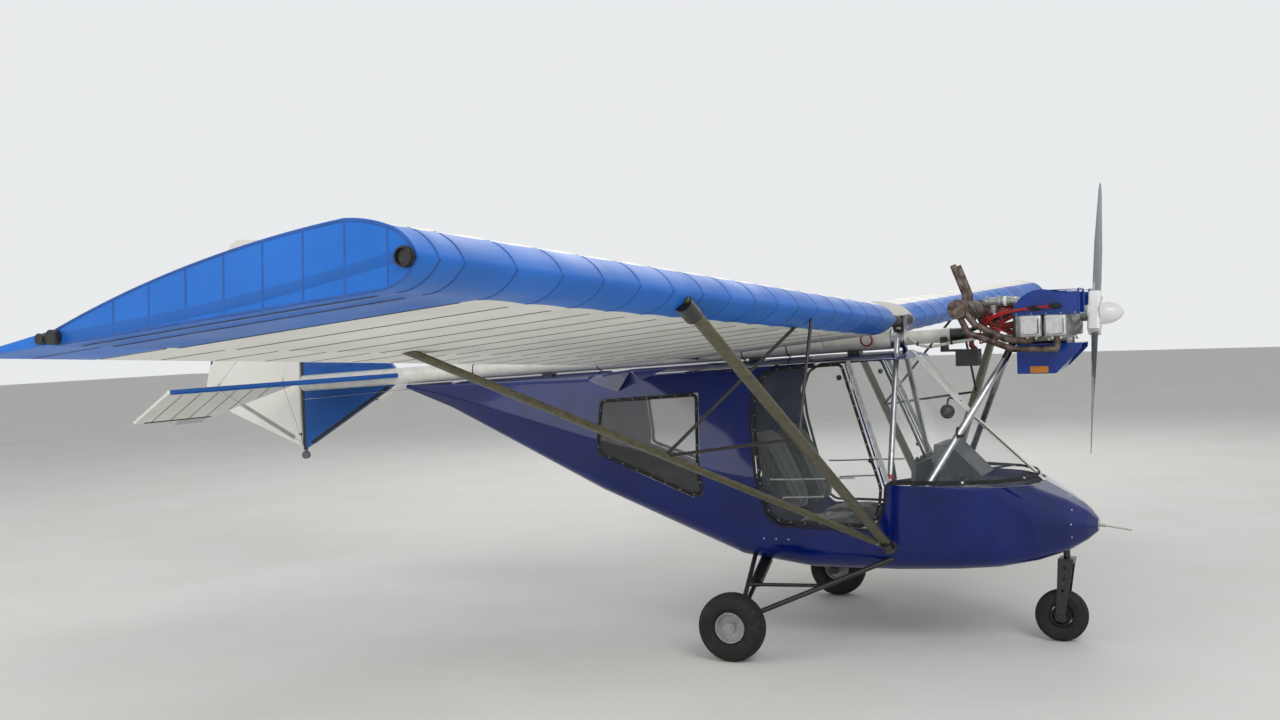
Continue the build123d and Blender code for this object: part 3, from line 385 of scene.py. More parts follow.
dress = {
    "pod_shell": podBlue, "windscreen": clearPanel, "leg_grommets": blackRubber,
    "door_left": clearPanel, "door_right": clearPanel, "rear_window_left": hazedShadeTintPanel,
    "rear_window_right": hazedShadeTintPanel, "windscreen_strip": whiteEnamel, "boom": whiteEnamel,
    "wing_tubes_left": blackNylon, "wing_tubes_right": blackNylon, "pod_saddles": blackEnamel,
    "wing_root_bracket": blackEnamel, "cabin_tubes": satinTube, "engine_legs": satinTube,
    "engine_mount": blackEnamel, "engine": rawCasting, "air_duct_left": ductBlue,
    "air_duct_right": ductBlue, "chin_cowl": ductBlue, "exhaust": exhaustSteel,
    "propeller": propPaint, "spinner": spinnerWhite, "lift_struts_left": oliveTube,
    "lift_struts_right": oliveTube, "jury_struts_left": blackEnamel,
    "jury_struts_right": blackEnamel, "main_gear_left": blackEnamel, "main_gear_right": blackEnamel,
    "main_wheel_left": wheelEnamel, "main_wheel_right": wheelEnamel, "nose_wheel": blackNylon,
    "nose_fork": blackEnamel, "tail_post": blackEnamel, "rudder": sailWhite, "fin": tailBlue,
    "ventral_fin": tailBlue, "stabiliser_left": tailBlue, "stabiliser_right": tailBlue,
    "elevator_left": sailWhite, "elevator_right": sailWhite, "trim_tab": satinTube,
    "tail_skid": greyAbs, "seat_left": seatCloth, "seat_right": seatCloth,
    "cabin_frame": satinTube, "instrument_panel": darkAbs, "control_stick": blackEnamel,
    "rudder_pedals": satinTube, "pitot_tube": brightScrew, "ignition_box": blackNylon,
    "door_post_left": satinTube, "door_post_right": satinTube, "wing_left": sailWhite,
    "wing_right": sailWhite, "aileron_left": aileronCloth, "aileron_right": aileronCloth,
    "main_tyre_left": tyreRubber, "main_tyre_right": tyreRubber, "nose_tyre": tyreRubber,
}
for nodeName, finish in dress.items():
    nodes[nodeName].data.materials.clear()
    nodes[nodeName].data.materials.append(finish)


# Mesh helpers
def newPiece(name, points, faces, materials, body, smoothAngle=35, faceSlots=None):
    mesh = bpy.data.meshes.new(name)
    mesh.from_pydata([tuple(p) for p in points], [], faces)
    for finish in materials:
        mesh.materials.append(finish)
    if faceSlots:
        mesh.polygons.foreach_set("material_index", faceSlots)
    mesh.validate()
    work = bmesh.new()
    work.from_mesh(mesh)
    bmesh.ops.remove_doubles(work, verts=work.verts, dist=1e-5)
    bmesh.ops.recalc_face_normals(work, faces=work.faces)
    work.to_mesh(mesh)
    work.free()
    return linkPiece(name, mesh, body, smoothAngle)


def linkPiece(name, mesh, body, smoothAngle=35):
    obj = bpy.data.objects.new(name, mesh)
    bpy.context.scene.collection.objects.link(obj)
    mesh.shade_smooth()
    mesh.set_sharp_from_angle(angle=math.radians(smoothAngle))
    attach(obj, body)
    return obj


def joined(parts):
    points, faces = [], []
    for morePoints, moreFaces in parts:
        faces += [tuple(len(points) + i for i in face) for face in moreFaces]
        points += morePoints
    return points, faces


# A closed block over eight corners: low corners first, then the high ones in the same order
def blockOver(corners):
    return list(corners), [(0, 3, 2, 1), (4, 5, 6, 7), (0, 1, 5, 4), (1, 2, 6, 5), (2, 3, 7, 6), (3, 0, 4, 7)]


def boxBetween(low, high):
    (a, b, c), (d, e, f) = low, high
    return blockOver([Vector(p) for p in (
        (a, b, c), (d, b, c), (d, e, c), (a, e, c), (a, b, f), (d, b, f), (d, e, f), (a, e, f))])


def addLathe(name, profile, centre, axis, finish, body, segments=64):
    axis = Vector(axis).normalized()
    across = axis.orthogonal().normalized()
    other = axis.cross(across)
    points, faces = [], []
    count = len(profile)
    for k in range(segments):
        turn = 2 * math.pi * k / segments
        radial = across * math.cos(turn) + other * math.sin(turn)
        points += [Vector(centre) + axis * along + radial * radius for radius, along in profile]
    for k in range(segments):
        for i in range(count - 1):
            a, b = k * count + i, (k + 1) % segments * count + i
            faces.append((a, b, b + 1, a + 1))
    return newPiece(name, points, faces, [finish], body, 32)


def arcPoints(start, middle, end, count):
    (x1, y1), (x2, y2), (x3, y3) = start, middle, end
    d = 2 * (x1 * (y2 - y3) + x2 * (y3 - y1) + x3 * (y1 - y2))
    a, b, c = x1 * x1 + y1 * y1, x2 * x2 + y2 * y2, x3 * x3 + y3 * y3
    cx = (a * (y2 - y3) + b * (y3 - y1) + c * (y1 - y2)) / d
    cy = (a * (x3 - x2) + b * (x1 - x3) + c * (x2 - x1)) / d
    radius = math.hypot(x1 - cx, y1 - cy)
    t1, t2, t3 = (math.atan2(y - cy, x - cx) for x, y in (start, middle, end))
    sweep = (t3 - t1) % (2 * math.pi)
    if (t2 - t1) % (2 * math.pi) > sweep:
        sweep -= 2 * math.pi
    return [(cx + radius * math.cos(t1 + sweep * i / count), cy + radius * math.sin(t1 + sweep * i / count))
            for i in range(count)]


def roundOff(line, times, closed):
    for _ in range(times):
        ends = len(line) if closed else len(line) - 1
        cut = [] if closed else [line[0]]
        for i in range(ends):
            a, b = line[i], line[(i + 1) % len(line)]
            cut += [a * 0.75 + b * 0.25, a * 0.25 + b * 0.75]
        line = cut if closed else cut + [line[-1]]
    return line


# The same line with a point at least every step
def fillIn(line, step, closed=False):
    filled = []
    ends = len(line) if closed else len(line) - 1
    for i in range(ends):
        a, b = line[i], line[(i + 1) % len(line)]
        count = max(1, math.ceil((b - a).length / step))
        filled += [a.lerp(b, k / count) for k in range(count)]
    return filled if closed else filled + [line[-1]]


def lineBetween(start, end, count):
    return [start.lerp(end, k / count) for k in range(count + 1)]


# Surfaces that trim and fasteners are laid on
def surfaceOver(meshes):
    parts = [([v.co.copy() for v in mesh.vertices], [tuple(f.vertices) for f in mesh.polygons])
             for mesh in meshes]
    return BVHTree.FromPolygons(*joined(parts))


def surfaceOf(*names):
    return surfaceOver([nodes[name].data for name in names])


def layOn(surface, line, toward):
    laid = []
    toward = Vector(toward).normalized()
    for p in line:
        hit, normal, _, _ = surface.ray_cast(Vector(p) - toward * 3, toward)
        if hit:
            laid.append((hit, -normal if normal.dot(toward) > 0 else normal))
    return laid


# A line laid on both faces of a thin panel: seen along the axis, and against it
def layOnBoth(surface, line, axis):
    return [layOn(surface, line, Vector(axis) * way) for way in (1, -1)]


def smoothNormals(laid, closed=False):
    count = len(laid)
    evened = []
    for i in range(count):
        total = Vector()
        for k in range(-3, 4):
            j = (i + k) % count if closed else min(max(i + k, 0), count - 1)
            total += laid[j][1]
        evened.append((laid[i][0], total.normalized()))
    return evened


# A flat moulding with rounded shoulders, laid along points that carry their surface's direction
def stripAlong(laid, width, height, closed=False, sink=0.001):
    laid = smoothNormals(laid, closed)
    shape = ((-0.5, -sink), (-0.5, height * 0.55), (-0.36, height),
             (0.36, height), (0.5, height * 0.55), (0.5, -sink))
    points, faces = [], []
    count, ring = len(laid), len(shape)
    for i, (p, normal) in enumerate(laid):
        before = laid[(i - 1) % count][0] if closed else laid[max(i - 1, 0)][0]
        after = laid[(i + 1) % count][0] if closed else laid[min(i + 1, count - 1)][0]
        across = (after - before).normalized().cross(normal).normalized()
        points += [p + across * side * width + normal * lift for side, lift in shape]
    for i in range(count if closed else count - 1):
        j = (i + 1) % count
        for k in range(ring):
            m = (k + 1) % ring
            faces.append((i * ring + k, j * ring + k, j * ring + m, i * ring + m))
    if not closed:
        faces += [tuple(range(ring)), tuple((count - 1) * ring + k for k in range(ring))]
    return points, faces


def addStrips(name, runs, width, height, finish, body, closed=False):
    runs = [run for run in runs if len(run) > 2]
    points, faces = joined([stripAlong(run, width, height, closed) for run in runs])
    piece = newPiece(name, points, faces, [finish], body, 45)
    return piece


# Geometry Nodes: what repeats or follows a path
def newTree(name, inputs):
    tree = bpy.data.node_groups.new(name, "GeometryNodeTree")
    tree.interface.new_socket("Geometry", in_out="INPUT", socket_type="NodeSocketGeometry")
    for label, kind in inputs:
        tree.interface.new_socket(label, in_out="INPUT", socket_type=kind)
    tree.interface.new_socket("Geometry", in_out="OUTPUT", socket_type="NodeSocketGeometry")
    return tree, addNode(tree, "NodeGroupInput").outputs


def endTree(tree, geometry, finish):
    real = addNode(tree, "GeometryNodeRealizeInstances", links={"Geometry": geometry})
    dressed = addNode(tree, "GeometryNodeSetMaterial", links={"Geometry": real.outputs[0], "Material": finish})
    addNode(tree, "NodeGroupOutput", links={"Geometry": dressed.outputs[0]})
    return tree


# Round wire, hose or rod along the mesh's edges, curved through the points when Steps is over 1
def pipingTree():
    tree, given = newTree("pipingAlongEdges", (
        ("Radius", "NodeSocketFloat"), ("Sides", "NodeSocketInt"), ("Steps", "NodeSocketInt"),
        ("Finish", "NodeSocketMaterial"),
    ))
    line = addNode(tree, "GeometryNodeMeshToCurve", links={"Mesh": given["Geometry"]})
    curved = addNode(tree, "GeometryNodeCurveSplineType", {"spline_type": "CATMULL_ROM"},
                     {"Curve": line.outputs[0]})
    fine = addNode(tree, "GeometryNodeSetSplineResolution", links={
        "Geometry": curved.outputs[0], "Resolution": given["Steps"]})
    ring = addNode(tree, "GeometryNodeCurvePrimitiveCircle", links={
        "Resolution": given["Sides"], "Radius": given["Radius"]})
    pipe = addNode(tree, "GeometryNodeCurveToMesh", {"Fill Caps": True}, {
        "Curve": fine.outputs[0], "Profile Curve": ring.outputs[0]})
    return endTree(tree, pipe.outputs[0], given["Finish"])


# A domed head, or a flat disc with any number of sides, on each point, facing along its "facing" vector
def studTree(name, domed):
    tree, given = newTree(name, (
        ("Radius", "NodeSocketFloat"), ("Height", "NodeSocketFloat"), ("Sides", "NodeSocketInt"),
        ("Finish", "NodeSocketMaterial"),
    ))
    if domed:
        head = addNode(tree, "GeometryNodeMeshUVSphere", {"Rings": 5, "Radius": 1.0},
                       {"Segments": given["Sides"]})
    else:
        head = addNode(tree, "GeometryNodeMeshCylinder", {"Radius": 1.0, "Depth": 1.0},
                       {"Vertices": given["Sides"]})
    size = addNode(tree, "ShaderNodeCombineXYZ", links={
        "X": given["Radius"], "Y": given["Radius"], "Z": given["Height"]})
    shaped = addNode(tree, "GeometryNodeTransform", links={
        "Geometry": head.outputs["Mesh"], "Scale": size.outputs[0]})
    facing = addNode(tree, "GeometryNodeInputNamedAttribute", {"data_type": "FLOAT_VECTOR", "Name": "facing"})
    turned = addNode(tree, "FunctionNodeAlignRotationToVector", {"axis": "Z"},
                     {"Vector": facing.outputs["Attribute"]})
    placed = addNode(tree, "GeometryNodeInstanceOnPoints", links={
        "Points": given["Geometry"], "Instance": shaped.outputs[0], "Rotation": turned.outputs[0]})
    return endTree(tree, placed.outputs[0], given["Finish"])


piping = pipingTree()
domes = studTree("domedHeads", True)
discs = studTree("flatDiscs", False)


def growNodes(name, mesh, tree, values, body, smoothAngle=40):
    carrier = bpy.data.objects.new(name + "_path", mesh)
    bpy.context.scene.collection.objects.link(carrier)
    grow = carrier.modifiers.new("grow", "NODES")
    grow.node_group = tree
    for item in tree.interface.items_tree:
        if item.in_out == "INPUT" and item.name in values:
            grow[item.identifier] = values[item.name]
    evaluated = carrier.evaluated_get(bpy.context.evaluated_depsgraph_get())
    plain = bpy.data.meshes.new_from_object(evaluated)
    carrier.modifiers.remove(grow)
    bpy.data.objects.remove(carrier)
    plain.name = name
    return linkPiece(name, plain, body, smoothAngle)


def addPiping(name, lines, radius, finish, body, sides=8, steps=1, closed=False):
    points, edges = [], []
    for line in lines:
        first = len(points)
        points += [tuple(p) for p in line]
        edges += [(first + i, first + i + 1) for i in range(len(line) - 1)]
        if closed:
            edges.append((first + len(line) - 1, first))
    mesh = bpy.data.meshes.new(name)
    mesh.from_pydata(points, edges, [])
    return growNodes(name, mesh, piping, {
        "Radius": radius, "Sides": sides, "Steps": steps, "Finish": finish}, body)


# heads is a list of (place, direction the head faces)
def addStuds(name, heads, radius, height, finish, body, sides=10, tree=None):
    mesh = bpy.data.meshes.new(name)
    mesh.from_pydata([tuple(p) for p, _ in heads], [], [])
    facing = mesh.attributes.new("facing", "FLOAT_VECTOR", "POINT")
    facing.data.foreach_set("vector", [c for _, direction in heads for c in Vector(direction).normalized()])
    return growNodes(name, mesh, tree or domes, {
        "Radius": radius, "Height": height, "Sides": sides, "Finish": finish}, body)


def circleLine(centre, axis, radius, count=24):
    axis = Vector(axis).normalized()
    across = axis.orthogonal().normalized()
    other = axis.cross(across)
    turns = [2 * math.pi * k / count for k in range(count)]
    return [Vector(centre) + (across * math.cos(turn) + other * math.sin(turn)) * radius for turn in turns]


print("helpers ready")


# Wing skins: sailcloth stretched over battens, hollowed a little between them. The profile's chord line falls
# by chordFall of its run from chordDrop under the leading tube
tapeHeight = 0.0012
wing = {
    "rootHeight": 1.755, "root": 0.2, "tip": 4.776, "smooth": 62, "chordDrop": 0.02, "chordFall": 0.12,
    "sag": 0.006, "noseReach": 0.035, "fullSagAfter": 0.25, "leastShare": 0.25, "sagEnd": 1.2, "steps": 4,
    "firstBatten": 4.68, "regular": 4.56, "spacing": ribSpacing, "battens": 16, "battenEnd": 1.236,
    "topEdge": 0.045, "bottomEdge": 0.125, "frontSeamOver": 0.02, "blueFrom": 4.29,
    "tipRibShadowSeams": (0.06, 0.195, 0.33, 0.465, 0.6, 0.735, 0.87, 1.005), "tipSeamInset": 0.006,
    "shadeFrom": (0.03, 0.004), "shadeRun": (1.17, -0.168), "shadeBow": 0.02, "boreRadius": 0.0282,
    "boreSpan": 4.79,
}
profileArcs = (
    ((-0.035, 0), (-0.006, 0.046), (0.060, 0.088), 8), ((0.060, 0.088), (0.130, 0.106), (0.198, 0.112), 6),
    ((0.198, 0.112), (0.603, 0.046), (1.228, -0.143), 22),
    ((1.228, -0.143), (1.250, -0.166), (1.228, -0.189), 5),
    ((1.228, -0.189), (0.584, -0.127), (0.099, -0.081), 18),
    ((0.099, -0.081), (0.020, -0.058), (-0.035, 0), 8),
)
wingLoop = [p for arc in profileArcs for p in arcPoints(*arc)]


def wingPoint(side, aft, up, span):
    return Vector((
        wingX - aft,
        side * (span * math.cos(dihedral) - up * math.sin(dihedral)),
        wing["rootHeight"] + span * math.sin(dihedral) + up * math.cos(dihedral),
    ))


def battenSpans():
    return [wing["firstBatten"]] + [wing["regular"] - wing["spacing"] * i for i in range(wing["battens"])]


def overChord(aft, up):
    return up + wing["chordDrop"] + aft * wing["chordFall"]


def isBelow(aft, up):
    return overChord(aft, up) < 0


# How much of the sag a place on the profile takes: least at the leading tube, none along the trailing edge
def sagShare(aft):
    if aft >= wing["sagEnd"]:
        return 0
    return min(max((aft + wing["noseReach"]) / wing["fullSagAfter"], wing["leastShare"]), 1)


def addWingSkin(side, name):
    ribs = sorted([wing["root"], wing["tip"]] + battenSpans())
    stations = []
    for inner, outer in zip(ribs, ribs[1:]):
        shares = [k / wing["steps"] for k in range(wing["steps"])]
        stations += [(inner + (outer - inner) * share, share) for share in shares]
    stations.append((wing["tip"], 0))
    points, faces, slots = [], [], []
    count = len(wingLoop)
    for span, phase in stations:
        hollow = wing["sag"] * math.sin(math.pi * phase)
        for aft, up in wingLoop:
            sunk = up - math.copysign(hollow * sagShare(aft), overChord(aft, up))
            points.append(wingPoint(side, aft, sunk, span))
    for i, ((inner, _), (outer, _)) in enumerate(zip(stations, stations[1:])):
        for k, (aft, up) in enumerate(wingLoop):
            a, b = i * count + k, i * count + (k + 1) % count
            faces.append((a, b, b + count, a + count))
            below = isBelow(aft, up)
            edge = wing["bottomEdge"] if below else wing["topEdge"]
            slots.append(int(aft < edge or (below and (inner + outer) / 2 > wing["blueFrom"])))
    last = (len(stations) - 1) * count
    faces += [tuple(range(count)), tuple(last + k for k in range(count))]
    slots += [0, 1]
    skin = newPiece(name + "_skin", points, faces, [sailWhite, sailBlue], bodyOf(name), wing["smooth"], slots)
    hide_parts(name)


# Batten pockets and stitched seams, laid on the skin as thin strips
def wingLine(side, chosen, span):
    laid = []
    for k in chosen:
        aft, up = wingLoop[k % len(wingLoop)]
        (ax, ay), (bx, by) = wingLoop[(k - 1) % len(wingLoop)], wingLoop[(k + 1) % len(wingLoop)]
        run = math.hypot(bx - ax, by - ay)
        p = wingPoint(side, aft, up, span)
        away = wingPoint(side, aft - (by - ay) / run, up + (bx - ax) / run, span) - p
        laid.append((p, away))
    return laid


# Which of the profile's points each kind of line runs over
def onRearBatten(aft, up):
    return isBelow(aft, up) and wing["bottomEdge"] < aft < wing["battenEnd"]


def onFrontSeam(aft, up):
    return aft <= (wing["bottomEdge"] + wing["frontSeamOver"] if isBelow(aft, up) else wing["topEdge"])


def onTopBatten(aft, up):
    return not isBelow(aft, up) and wing["topEdge"] < aft < wing["battenEnd"]


def addBattens(side, name):
    for label, test, width, height, finish in (
        # The underside pocket lines are drawn dark grey as painted shade
        ("rear_battens", onRearBatten, 0.009, tapeHeight, battenPocketShade),
        ("front_seams", onFrontSeam, 0.011, tapeHeight, seamBlue),
        ("top_battens", onTopBatten, 0.016, 0.0014, seamPale),
    ):
        chosen = [k for k, (aft, up) in enumerate(wingLoop) if test(aft, up)]
        if test is onFrontSeam:
            chosen = sorted(k - len(wingLoop) if k > len(wingLoop) // 2 else k for k in chosen)
        lines = [wingLine(side, chosen, span) for span in battenSpans()]
        addStrips(f"{name}_{label}", lines, width, height, finish, bodyOf(name))


# The tip's end panel: upright seams where ribs press through, their darker blue painted as the ribs' shadow
# through the translucent cloth; a darker blue strip painted as the shadow of the strut inside; a tape round its
# rim; and a black disc painted as the shade in the tube's open bore
def addTipSeams(side, name):
    body, tip = bodyOf(name), wing["tip"]
    outward = wingPoint(side, 0, 0, 1) - wingPoint(side, 0, 0, 0)
    top = sorted(p for p in wingLoop if not isBelow(*p))
    bottom = sorted(p for p in wingLoop if isBelow(*p))
    seams, shade = [], []
    for aft in wing["tipRibShadowSeams"]:
        high, low = (min(edge, key=lambda p: abs(p[0] - aft))[1] for edge in (top, bottom))
        start = wingPoint(side, aft, high - wing["tipSeamInset"], tip)
        end = wingPoint(side, aft, low + wing["tipSeamInset"], tip)
        seams.append([(p, outward) for p in lineBetween(start, end, 6)])
    for share in (k / 20 for k in range(21)):
        aft = wing["shadeFrom"][0] + wing["shadeRun"][0] * share
        up = wing["shadeFrom"][1] + wing["shadeRun"][1] * share - wing["shadeBow"] * math.sin(math.pi * share)
        shade.append((wingPoint(side, aft, up, tip), outward))
    rim = [(wingPoint(side, aft * 0.992 + 0.004, up * 0.97 - 0.003, tip), outward) for aft, up in wingLoop]
    bore = [(wingPoint(side, 0, 0, wing["boreSpan"]), outward)]
    # Upright seams in darker blue: raised where the ribs press the cloth, their colour painted shadow of the
    # ribs behind it
    addStrips(name + "_tip_rib_shadow_seams", seams, 0.006, 0.001, seamBlue, body)
    # A broad darker blue strip: painted shadow of the strut inside the tip
    addStrips(name + "_tip_strut_shadow", [shade], 0.03, 0.0006, paintedStrutShadow, body)
    # A flat black disc in the leading tube's open end: painted shade of the hollow bore
    addStuds(name + "_tube_bore_shade_disc", bore, wing["boreRadius"], 0.004, dialBlack, body, 32, discs)
    addStrips(name + "_tip_tape", [rim], 0.008, tapeHeight, seamBlue, body, True)


# Aileron hinges: an aluminium tongue out of the rear edge, and the pin through it
hinges = {"aft": 1.276, "up": -0.170, "spans": (0.7, 1.9, 3.1, 4.3), "halfWidth": 0.004, "halfHeight": 0.008,
          "halfPin": 0.02, "pinRadius": 0.003, "tongueFrom": 1.236, "tubeEnd": (4.76, 4.798),
          "tubeRadius": 0.0165}


def addHingeTongues(side, name):
    blocks, pins = [], []
    root, end = hinges["tongueFrom"], hinges["aft"] + hinges["halfHeight"]
    for span in hinges["spans"]:
        corners = []
        for up in (hinges["up"] - hinges["halfHeight"], hinges["up"] + hinges["halfHeight"]):
            for aft, across in ((root, -1), (root, 1), (end, 1), (end, -1)):
                corners.append(wingPoint(side, aft, up, span + across * hinges["halfWidth"]))
        blocks.append(blockOver(corners))
        pins.append([wingPoint(side, hinges["aft"], hinges["up"], span + way * hinges["halfPin"])
                     for way in (-1, 1)])
    newPiece(name + "_tongues", *joined(blocks), [satinTube], bodyOf(name))
    addPiping(name + "_pins", pins, hinges["pinRadius"], brightScrew, bodyOf(name), 10)


for side, word in sides:
    addWingSkin(side, "wing_" + word)
    addBattens(side, "wing_" + word)
    addTipSeams(side, "wing_" + word)
    addHingeTongues(side, "wing_" + word)
print("wings skinned")


# Ailerons: batten pockets across both faces, and the black end of the tube that the cloth is laced to
aileron = {"from": 1.26, "to": 1.57, "above": 0.4, "below": -0.9}


def addAileronCloth(side, name):
    surface = surfaceOf(name)
    upward = wingPoint(side, 0, 1, 0) - wingPoint(side, 0, 0, 0)
    runs = []
    for span in battenSpans()[1:]:
        for up, toward in ((aileron["above"], -upward), (aileron["below"], upward)):
            ends = (wingPoint(side, aileron[end], up, span) for end in ("from", "to"))
            runs.append(layOn(surface, lineBetween(*ends, 12), toward))
    addStrips(name + "_battens", runs, 0.009, tapeHeight, battenPocketShade, bodyOf(name))


def addAileronTubeEnd(side, name):
    ends = [wingPoint(side, hinges["aft"], hinges["up"], span) for span in hinges["tubeEnd"]]
    addPiping(name + "_tube_end", [ends], hinges["tubeRadius"], blackNylon, bodyOf(name), 24)


for side, word in sides:
    addAileronCloth(side, "aileron_" + word)
    addAileronTubeEnd(side, "aileron_" + word)
print("ailerons stitched")


# Tyres: a rounded carcass with ribs and grooves round the tread, and a raised ring on each wall
tyres = {
    "main": {"outer": 0.180, "rim": 0.080, "half": 0.0625, "grooves": (-0.034, -0.012, 0.012, 0.034)},
    "nose": {"outer": 0.140, "rim": 0.055, "half": 0.045, "grooves": (-0.02, 0.0, 0.02)},
}
carcass = {"sweep": 1.72, "start": -0.36, "wallSquareness": 0.72, "crownSquareness": 0.8, "treadDepth": 0.012,
           "grooveTop": 0.0035, "grooveFloor": 0.0025, "grooveDepth": 0.004, "rimGap": 0.0003, "points": 48,
           "ringShare": 0.93, "ringOut": 0.006, "ringRadius": 0.0022}


def tyreProfile(form):
    outer, rim, half = form["outer"], form["rim"] + carcass["rimGap"], form["half"]
    middle, reach = (outer + rim) / 2, (outer - rim) / 2
    shaped = []
    for i in range(carcass["points"] + 1):
        turn = math.pi * (carcass["sweep"] * i / carcass["points"] + carcass["start"])
        y, r = -math.cos(turn), math.sin(turn)
        y = math.copysign(abs(y) ** carcass["wallSquareness"], y) * half
        r = middle + math.copysign(abs(r) ** carcass["crownSquareness"], r) * reach
        shaped.append((max(r, rim), y))
    tread = [p for p in shaped if p[0] > outer - carcass["treadDepth"]]
    for groove in form["grooves"]:
        index = shaped.index(min(tread, key=lambda p: abs(p[1] - groove)))
        r = shaped[index][0]
        floor = r - carcass["grooveDepth"]
        shaped[index:index + 1] = [
            (r, groove - carcass["grooveTop"]), (floor, groove - carcass["grooveFloor"]),
            (floor, groove + carcass["grooveFloor"]), (r, groove + carcass["grooveTop"]),
        ]
    return shaped + [shaped[0]]


def addTyre(name, form, centre):
    sizes = tyres[form]
    cover = addLathe(name + "_cover", tyreProfile(sizes), centre, (0, 1, 0), tyreRubber, bodyOf(name), 72)
    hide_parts(name)
    out = Vector((0, sizes["half"] * carcass["ringShare"], 0))
    radius = (sizes["outer"] + sizes["rim"]) / 2 + carcass["ringOut"]
    rings = [circleLine(Vector(centre) + out * way, (0, 1, 0), radius, 48) for way in (-1, 1)]
    ring = addPiping(name + "_wall_rings", rings, carcass["ringRadius"], tyreRubber, bodyOf(name), 6, 1, True)


for name, form, centre in (
    ("main_tyre_left", "main", (1.235, 0.935, 0.180)), ("main_tyre_right", "main", (1.235, -0.935, 0.180)),
    ("nose_tyre", "nose", (2.775, 0, 0.140)),
):
    addTyre(name, form, centre)
print("tyres turned")


# Door, window and pod edging: outlines are side views, ahead of the leading tube and up, in metres
doorway = {
    "outline": ((0.030, 0.881), (0.018, 0.790), (-0.020, 0.690), (-0.060, 0.655), (-0.570, 0.662),
                (-0.640, 0.715), (-0.680, 0.850), (-0.735, 1.200), (-0.738, 1.360), (-0.690, 1.480),
                (-0.600, 1.530), (-0.214, 1.548)),
    "inset": -0.017, "corner": 0.06, "step": 0.018, "width": 0.016, "height": 0.003, "rivetEvery": 0.071,
    "sealInset": 0.009, "sealWidth": 0.013,
}
rearWindow = {
    "outline": ((-1.747, 1.354), (-1.084, 1.390), (-1.030, 0.815), (-1.100, 0.795), (-1.747, 1.030)),
    "inset": -0.013, "corner": 0.07, "step": 0.02, "width": 0.02, "height": 0.0028, "rivetEvery": 0.095,
}
rivet = {"radius": 0.0036, "height": 0.0014}
podScrews = {"radius": 0.0055, "height": 0.002, "rows": (
    ((-3.05, 1.505), (-0.89, 1.505), 9), ((-0.671, 0.58), (-0.525, 0.58), 2), ((0.93, 0.52), (0.93, 0.73), 3),
)}


def shiftOutline(outline, distance):
    line = [Vector((x, 0, z)) for x, z in outline]
    shifted = []
    count = len(line)
    for i, p in enumerate(line):
        back = (p - line[i - 1]).normalized()
        ahead = (line[(i + 1) % count] - p).normalized()
        along = (back + ahead).normalized()
        away = Vector((along.z, 0, -along.x))
        stretch = 1 / max(0.5, away.dot(Vector((ahead.z, 0, -ahead.x))))
        shifted.append(p - away * distance * stretch)
    return [Vector((wingX + p.x, 0, p.z)) for p in shifted]


def spacedAlong(laid, every):
    chosen, travelled = [laid[0]], 0.0
    for (a, _), (b, normal) in zip(laid, laid[1:]):
        travelled += (b - a).length
        if travelled >= every:
            chosen.append((b, normal))
            travelled = 0.0
    return chosen


def addDoorwaySeal(side, word):
    rim = roundOff(fillIn(shiftOutline(doorway["outline"], doorway["sealInset"]), doorway["corner"]), 2, False)
    rim = layOn(surfaceOf("pod_shell"), fillIn(rim, doorway["step"]), (0, -side, 0))
    addStrips(f"doorway_seal_{word}", [rim], doorway["sealWidth"], doorway["height"], blackRubber, "airframe")


# A rubber binding round a clear panel, with rivets spaced along it
def addBinding(kind, form, side, word):
    panel = f"{kind}_{word}"
    edge = roundOff(fillIn(shiftOutline(form["outline"], form["inset"]), form["corner"], True), 2, True)
    edge = layOn(surfaceOf(panel), fillIn(edge, form["step"], True), (0, -side, 0))
    addStrips(f"{kind}_binding_{word}", [edge], form["width"], form["height"], blackRubber, bodyOf(panel), True)
    heads = [(p + n * form["height"], n) for p, n in spacedAlong(edge, form["rivetEvery"])]
    addStuds(f"{kind}_rivets_{word}", heads, rivet["radius"], rivet["height"], brightScrew, bodyOf(panel))


def addPodScrews(side, word):
    pod = surfaceOf("pod_shell")
    heads = []
    for (x1, z1), (x2, z2), count in podScrews["rows"]:
        heads += layOn(pod, lineBetween(at(x1, 0, z1), at(x2, 0, z2), count), (0, -side, 0))
    addStuds(f"pod_screws_{word}", heads, podScrews["radius"], podScrews["height"], brightScrew, "airframe",
             12)


for side, word in sides:
    addDoorwaySeal(side, word)
    addBinding("door", doorway, side, word)
    addBinding("rear_window", rearWindow, side, word)
    addPodScrews(side, word)
print("doors and windows edged")


# The laminate shell with its facets shaded smooth, as the mould's curves are
def addSmoothShell(name, angle):
    mesh = nodes[name].data.copy()
    work = bmesh.new()
    work.from_mesh(mesh)
    bmesh.ops.remove_doubles(work, verts=work.verts, dist=1e-5)
    work.to_mesh(mesh)
    work.free()
    if mesh.has_custom_normals:
        mesh.attributes.remove(mesh.attributes["custom_normal"])
    shell = bpy.data.objects.new(name + "_smooth", mesh)
    bpy.context.scene.collection.objects.link(shell)
    mesh.shade_smooth()
    mesh.set_sharp_from_angle(angle=math.radians(angle))
    shell.modifiers.new("even", "WEIGHTED_NORMAL").keep_sharp = True
    plain = bpy.data.meshes.new_from_object(shell.evaluated_get(bpy.context.evaluated_depsgraph_get()))
    bpy.data.objects.remove(shell)
    piece = bpy.data.objects.new(name + "_smooth", plain)
    bpy.context.scene.collection.objects.link(piece)
    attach(piece, bodyOf(name))
    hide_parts(name)


addSmoothShell("pod_shell", 32)


# Door fittings: catch, knob and the two rods inside each door, laid just inside the sheet
doorFittings = {
    "rods": (((-0.604, 0.913), (-0.137, 0.928)), ((-0.538, 0.812), (-0.310, 0.822))), "standOff": 0.011,
    "rodRadius": 0.0045, "knob": (-0.045, 1.018), "catch": (-0.235, 1.46),
}


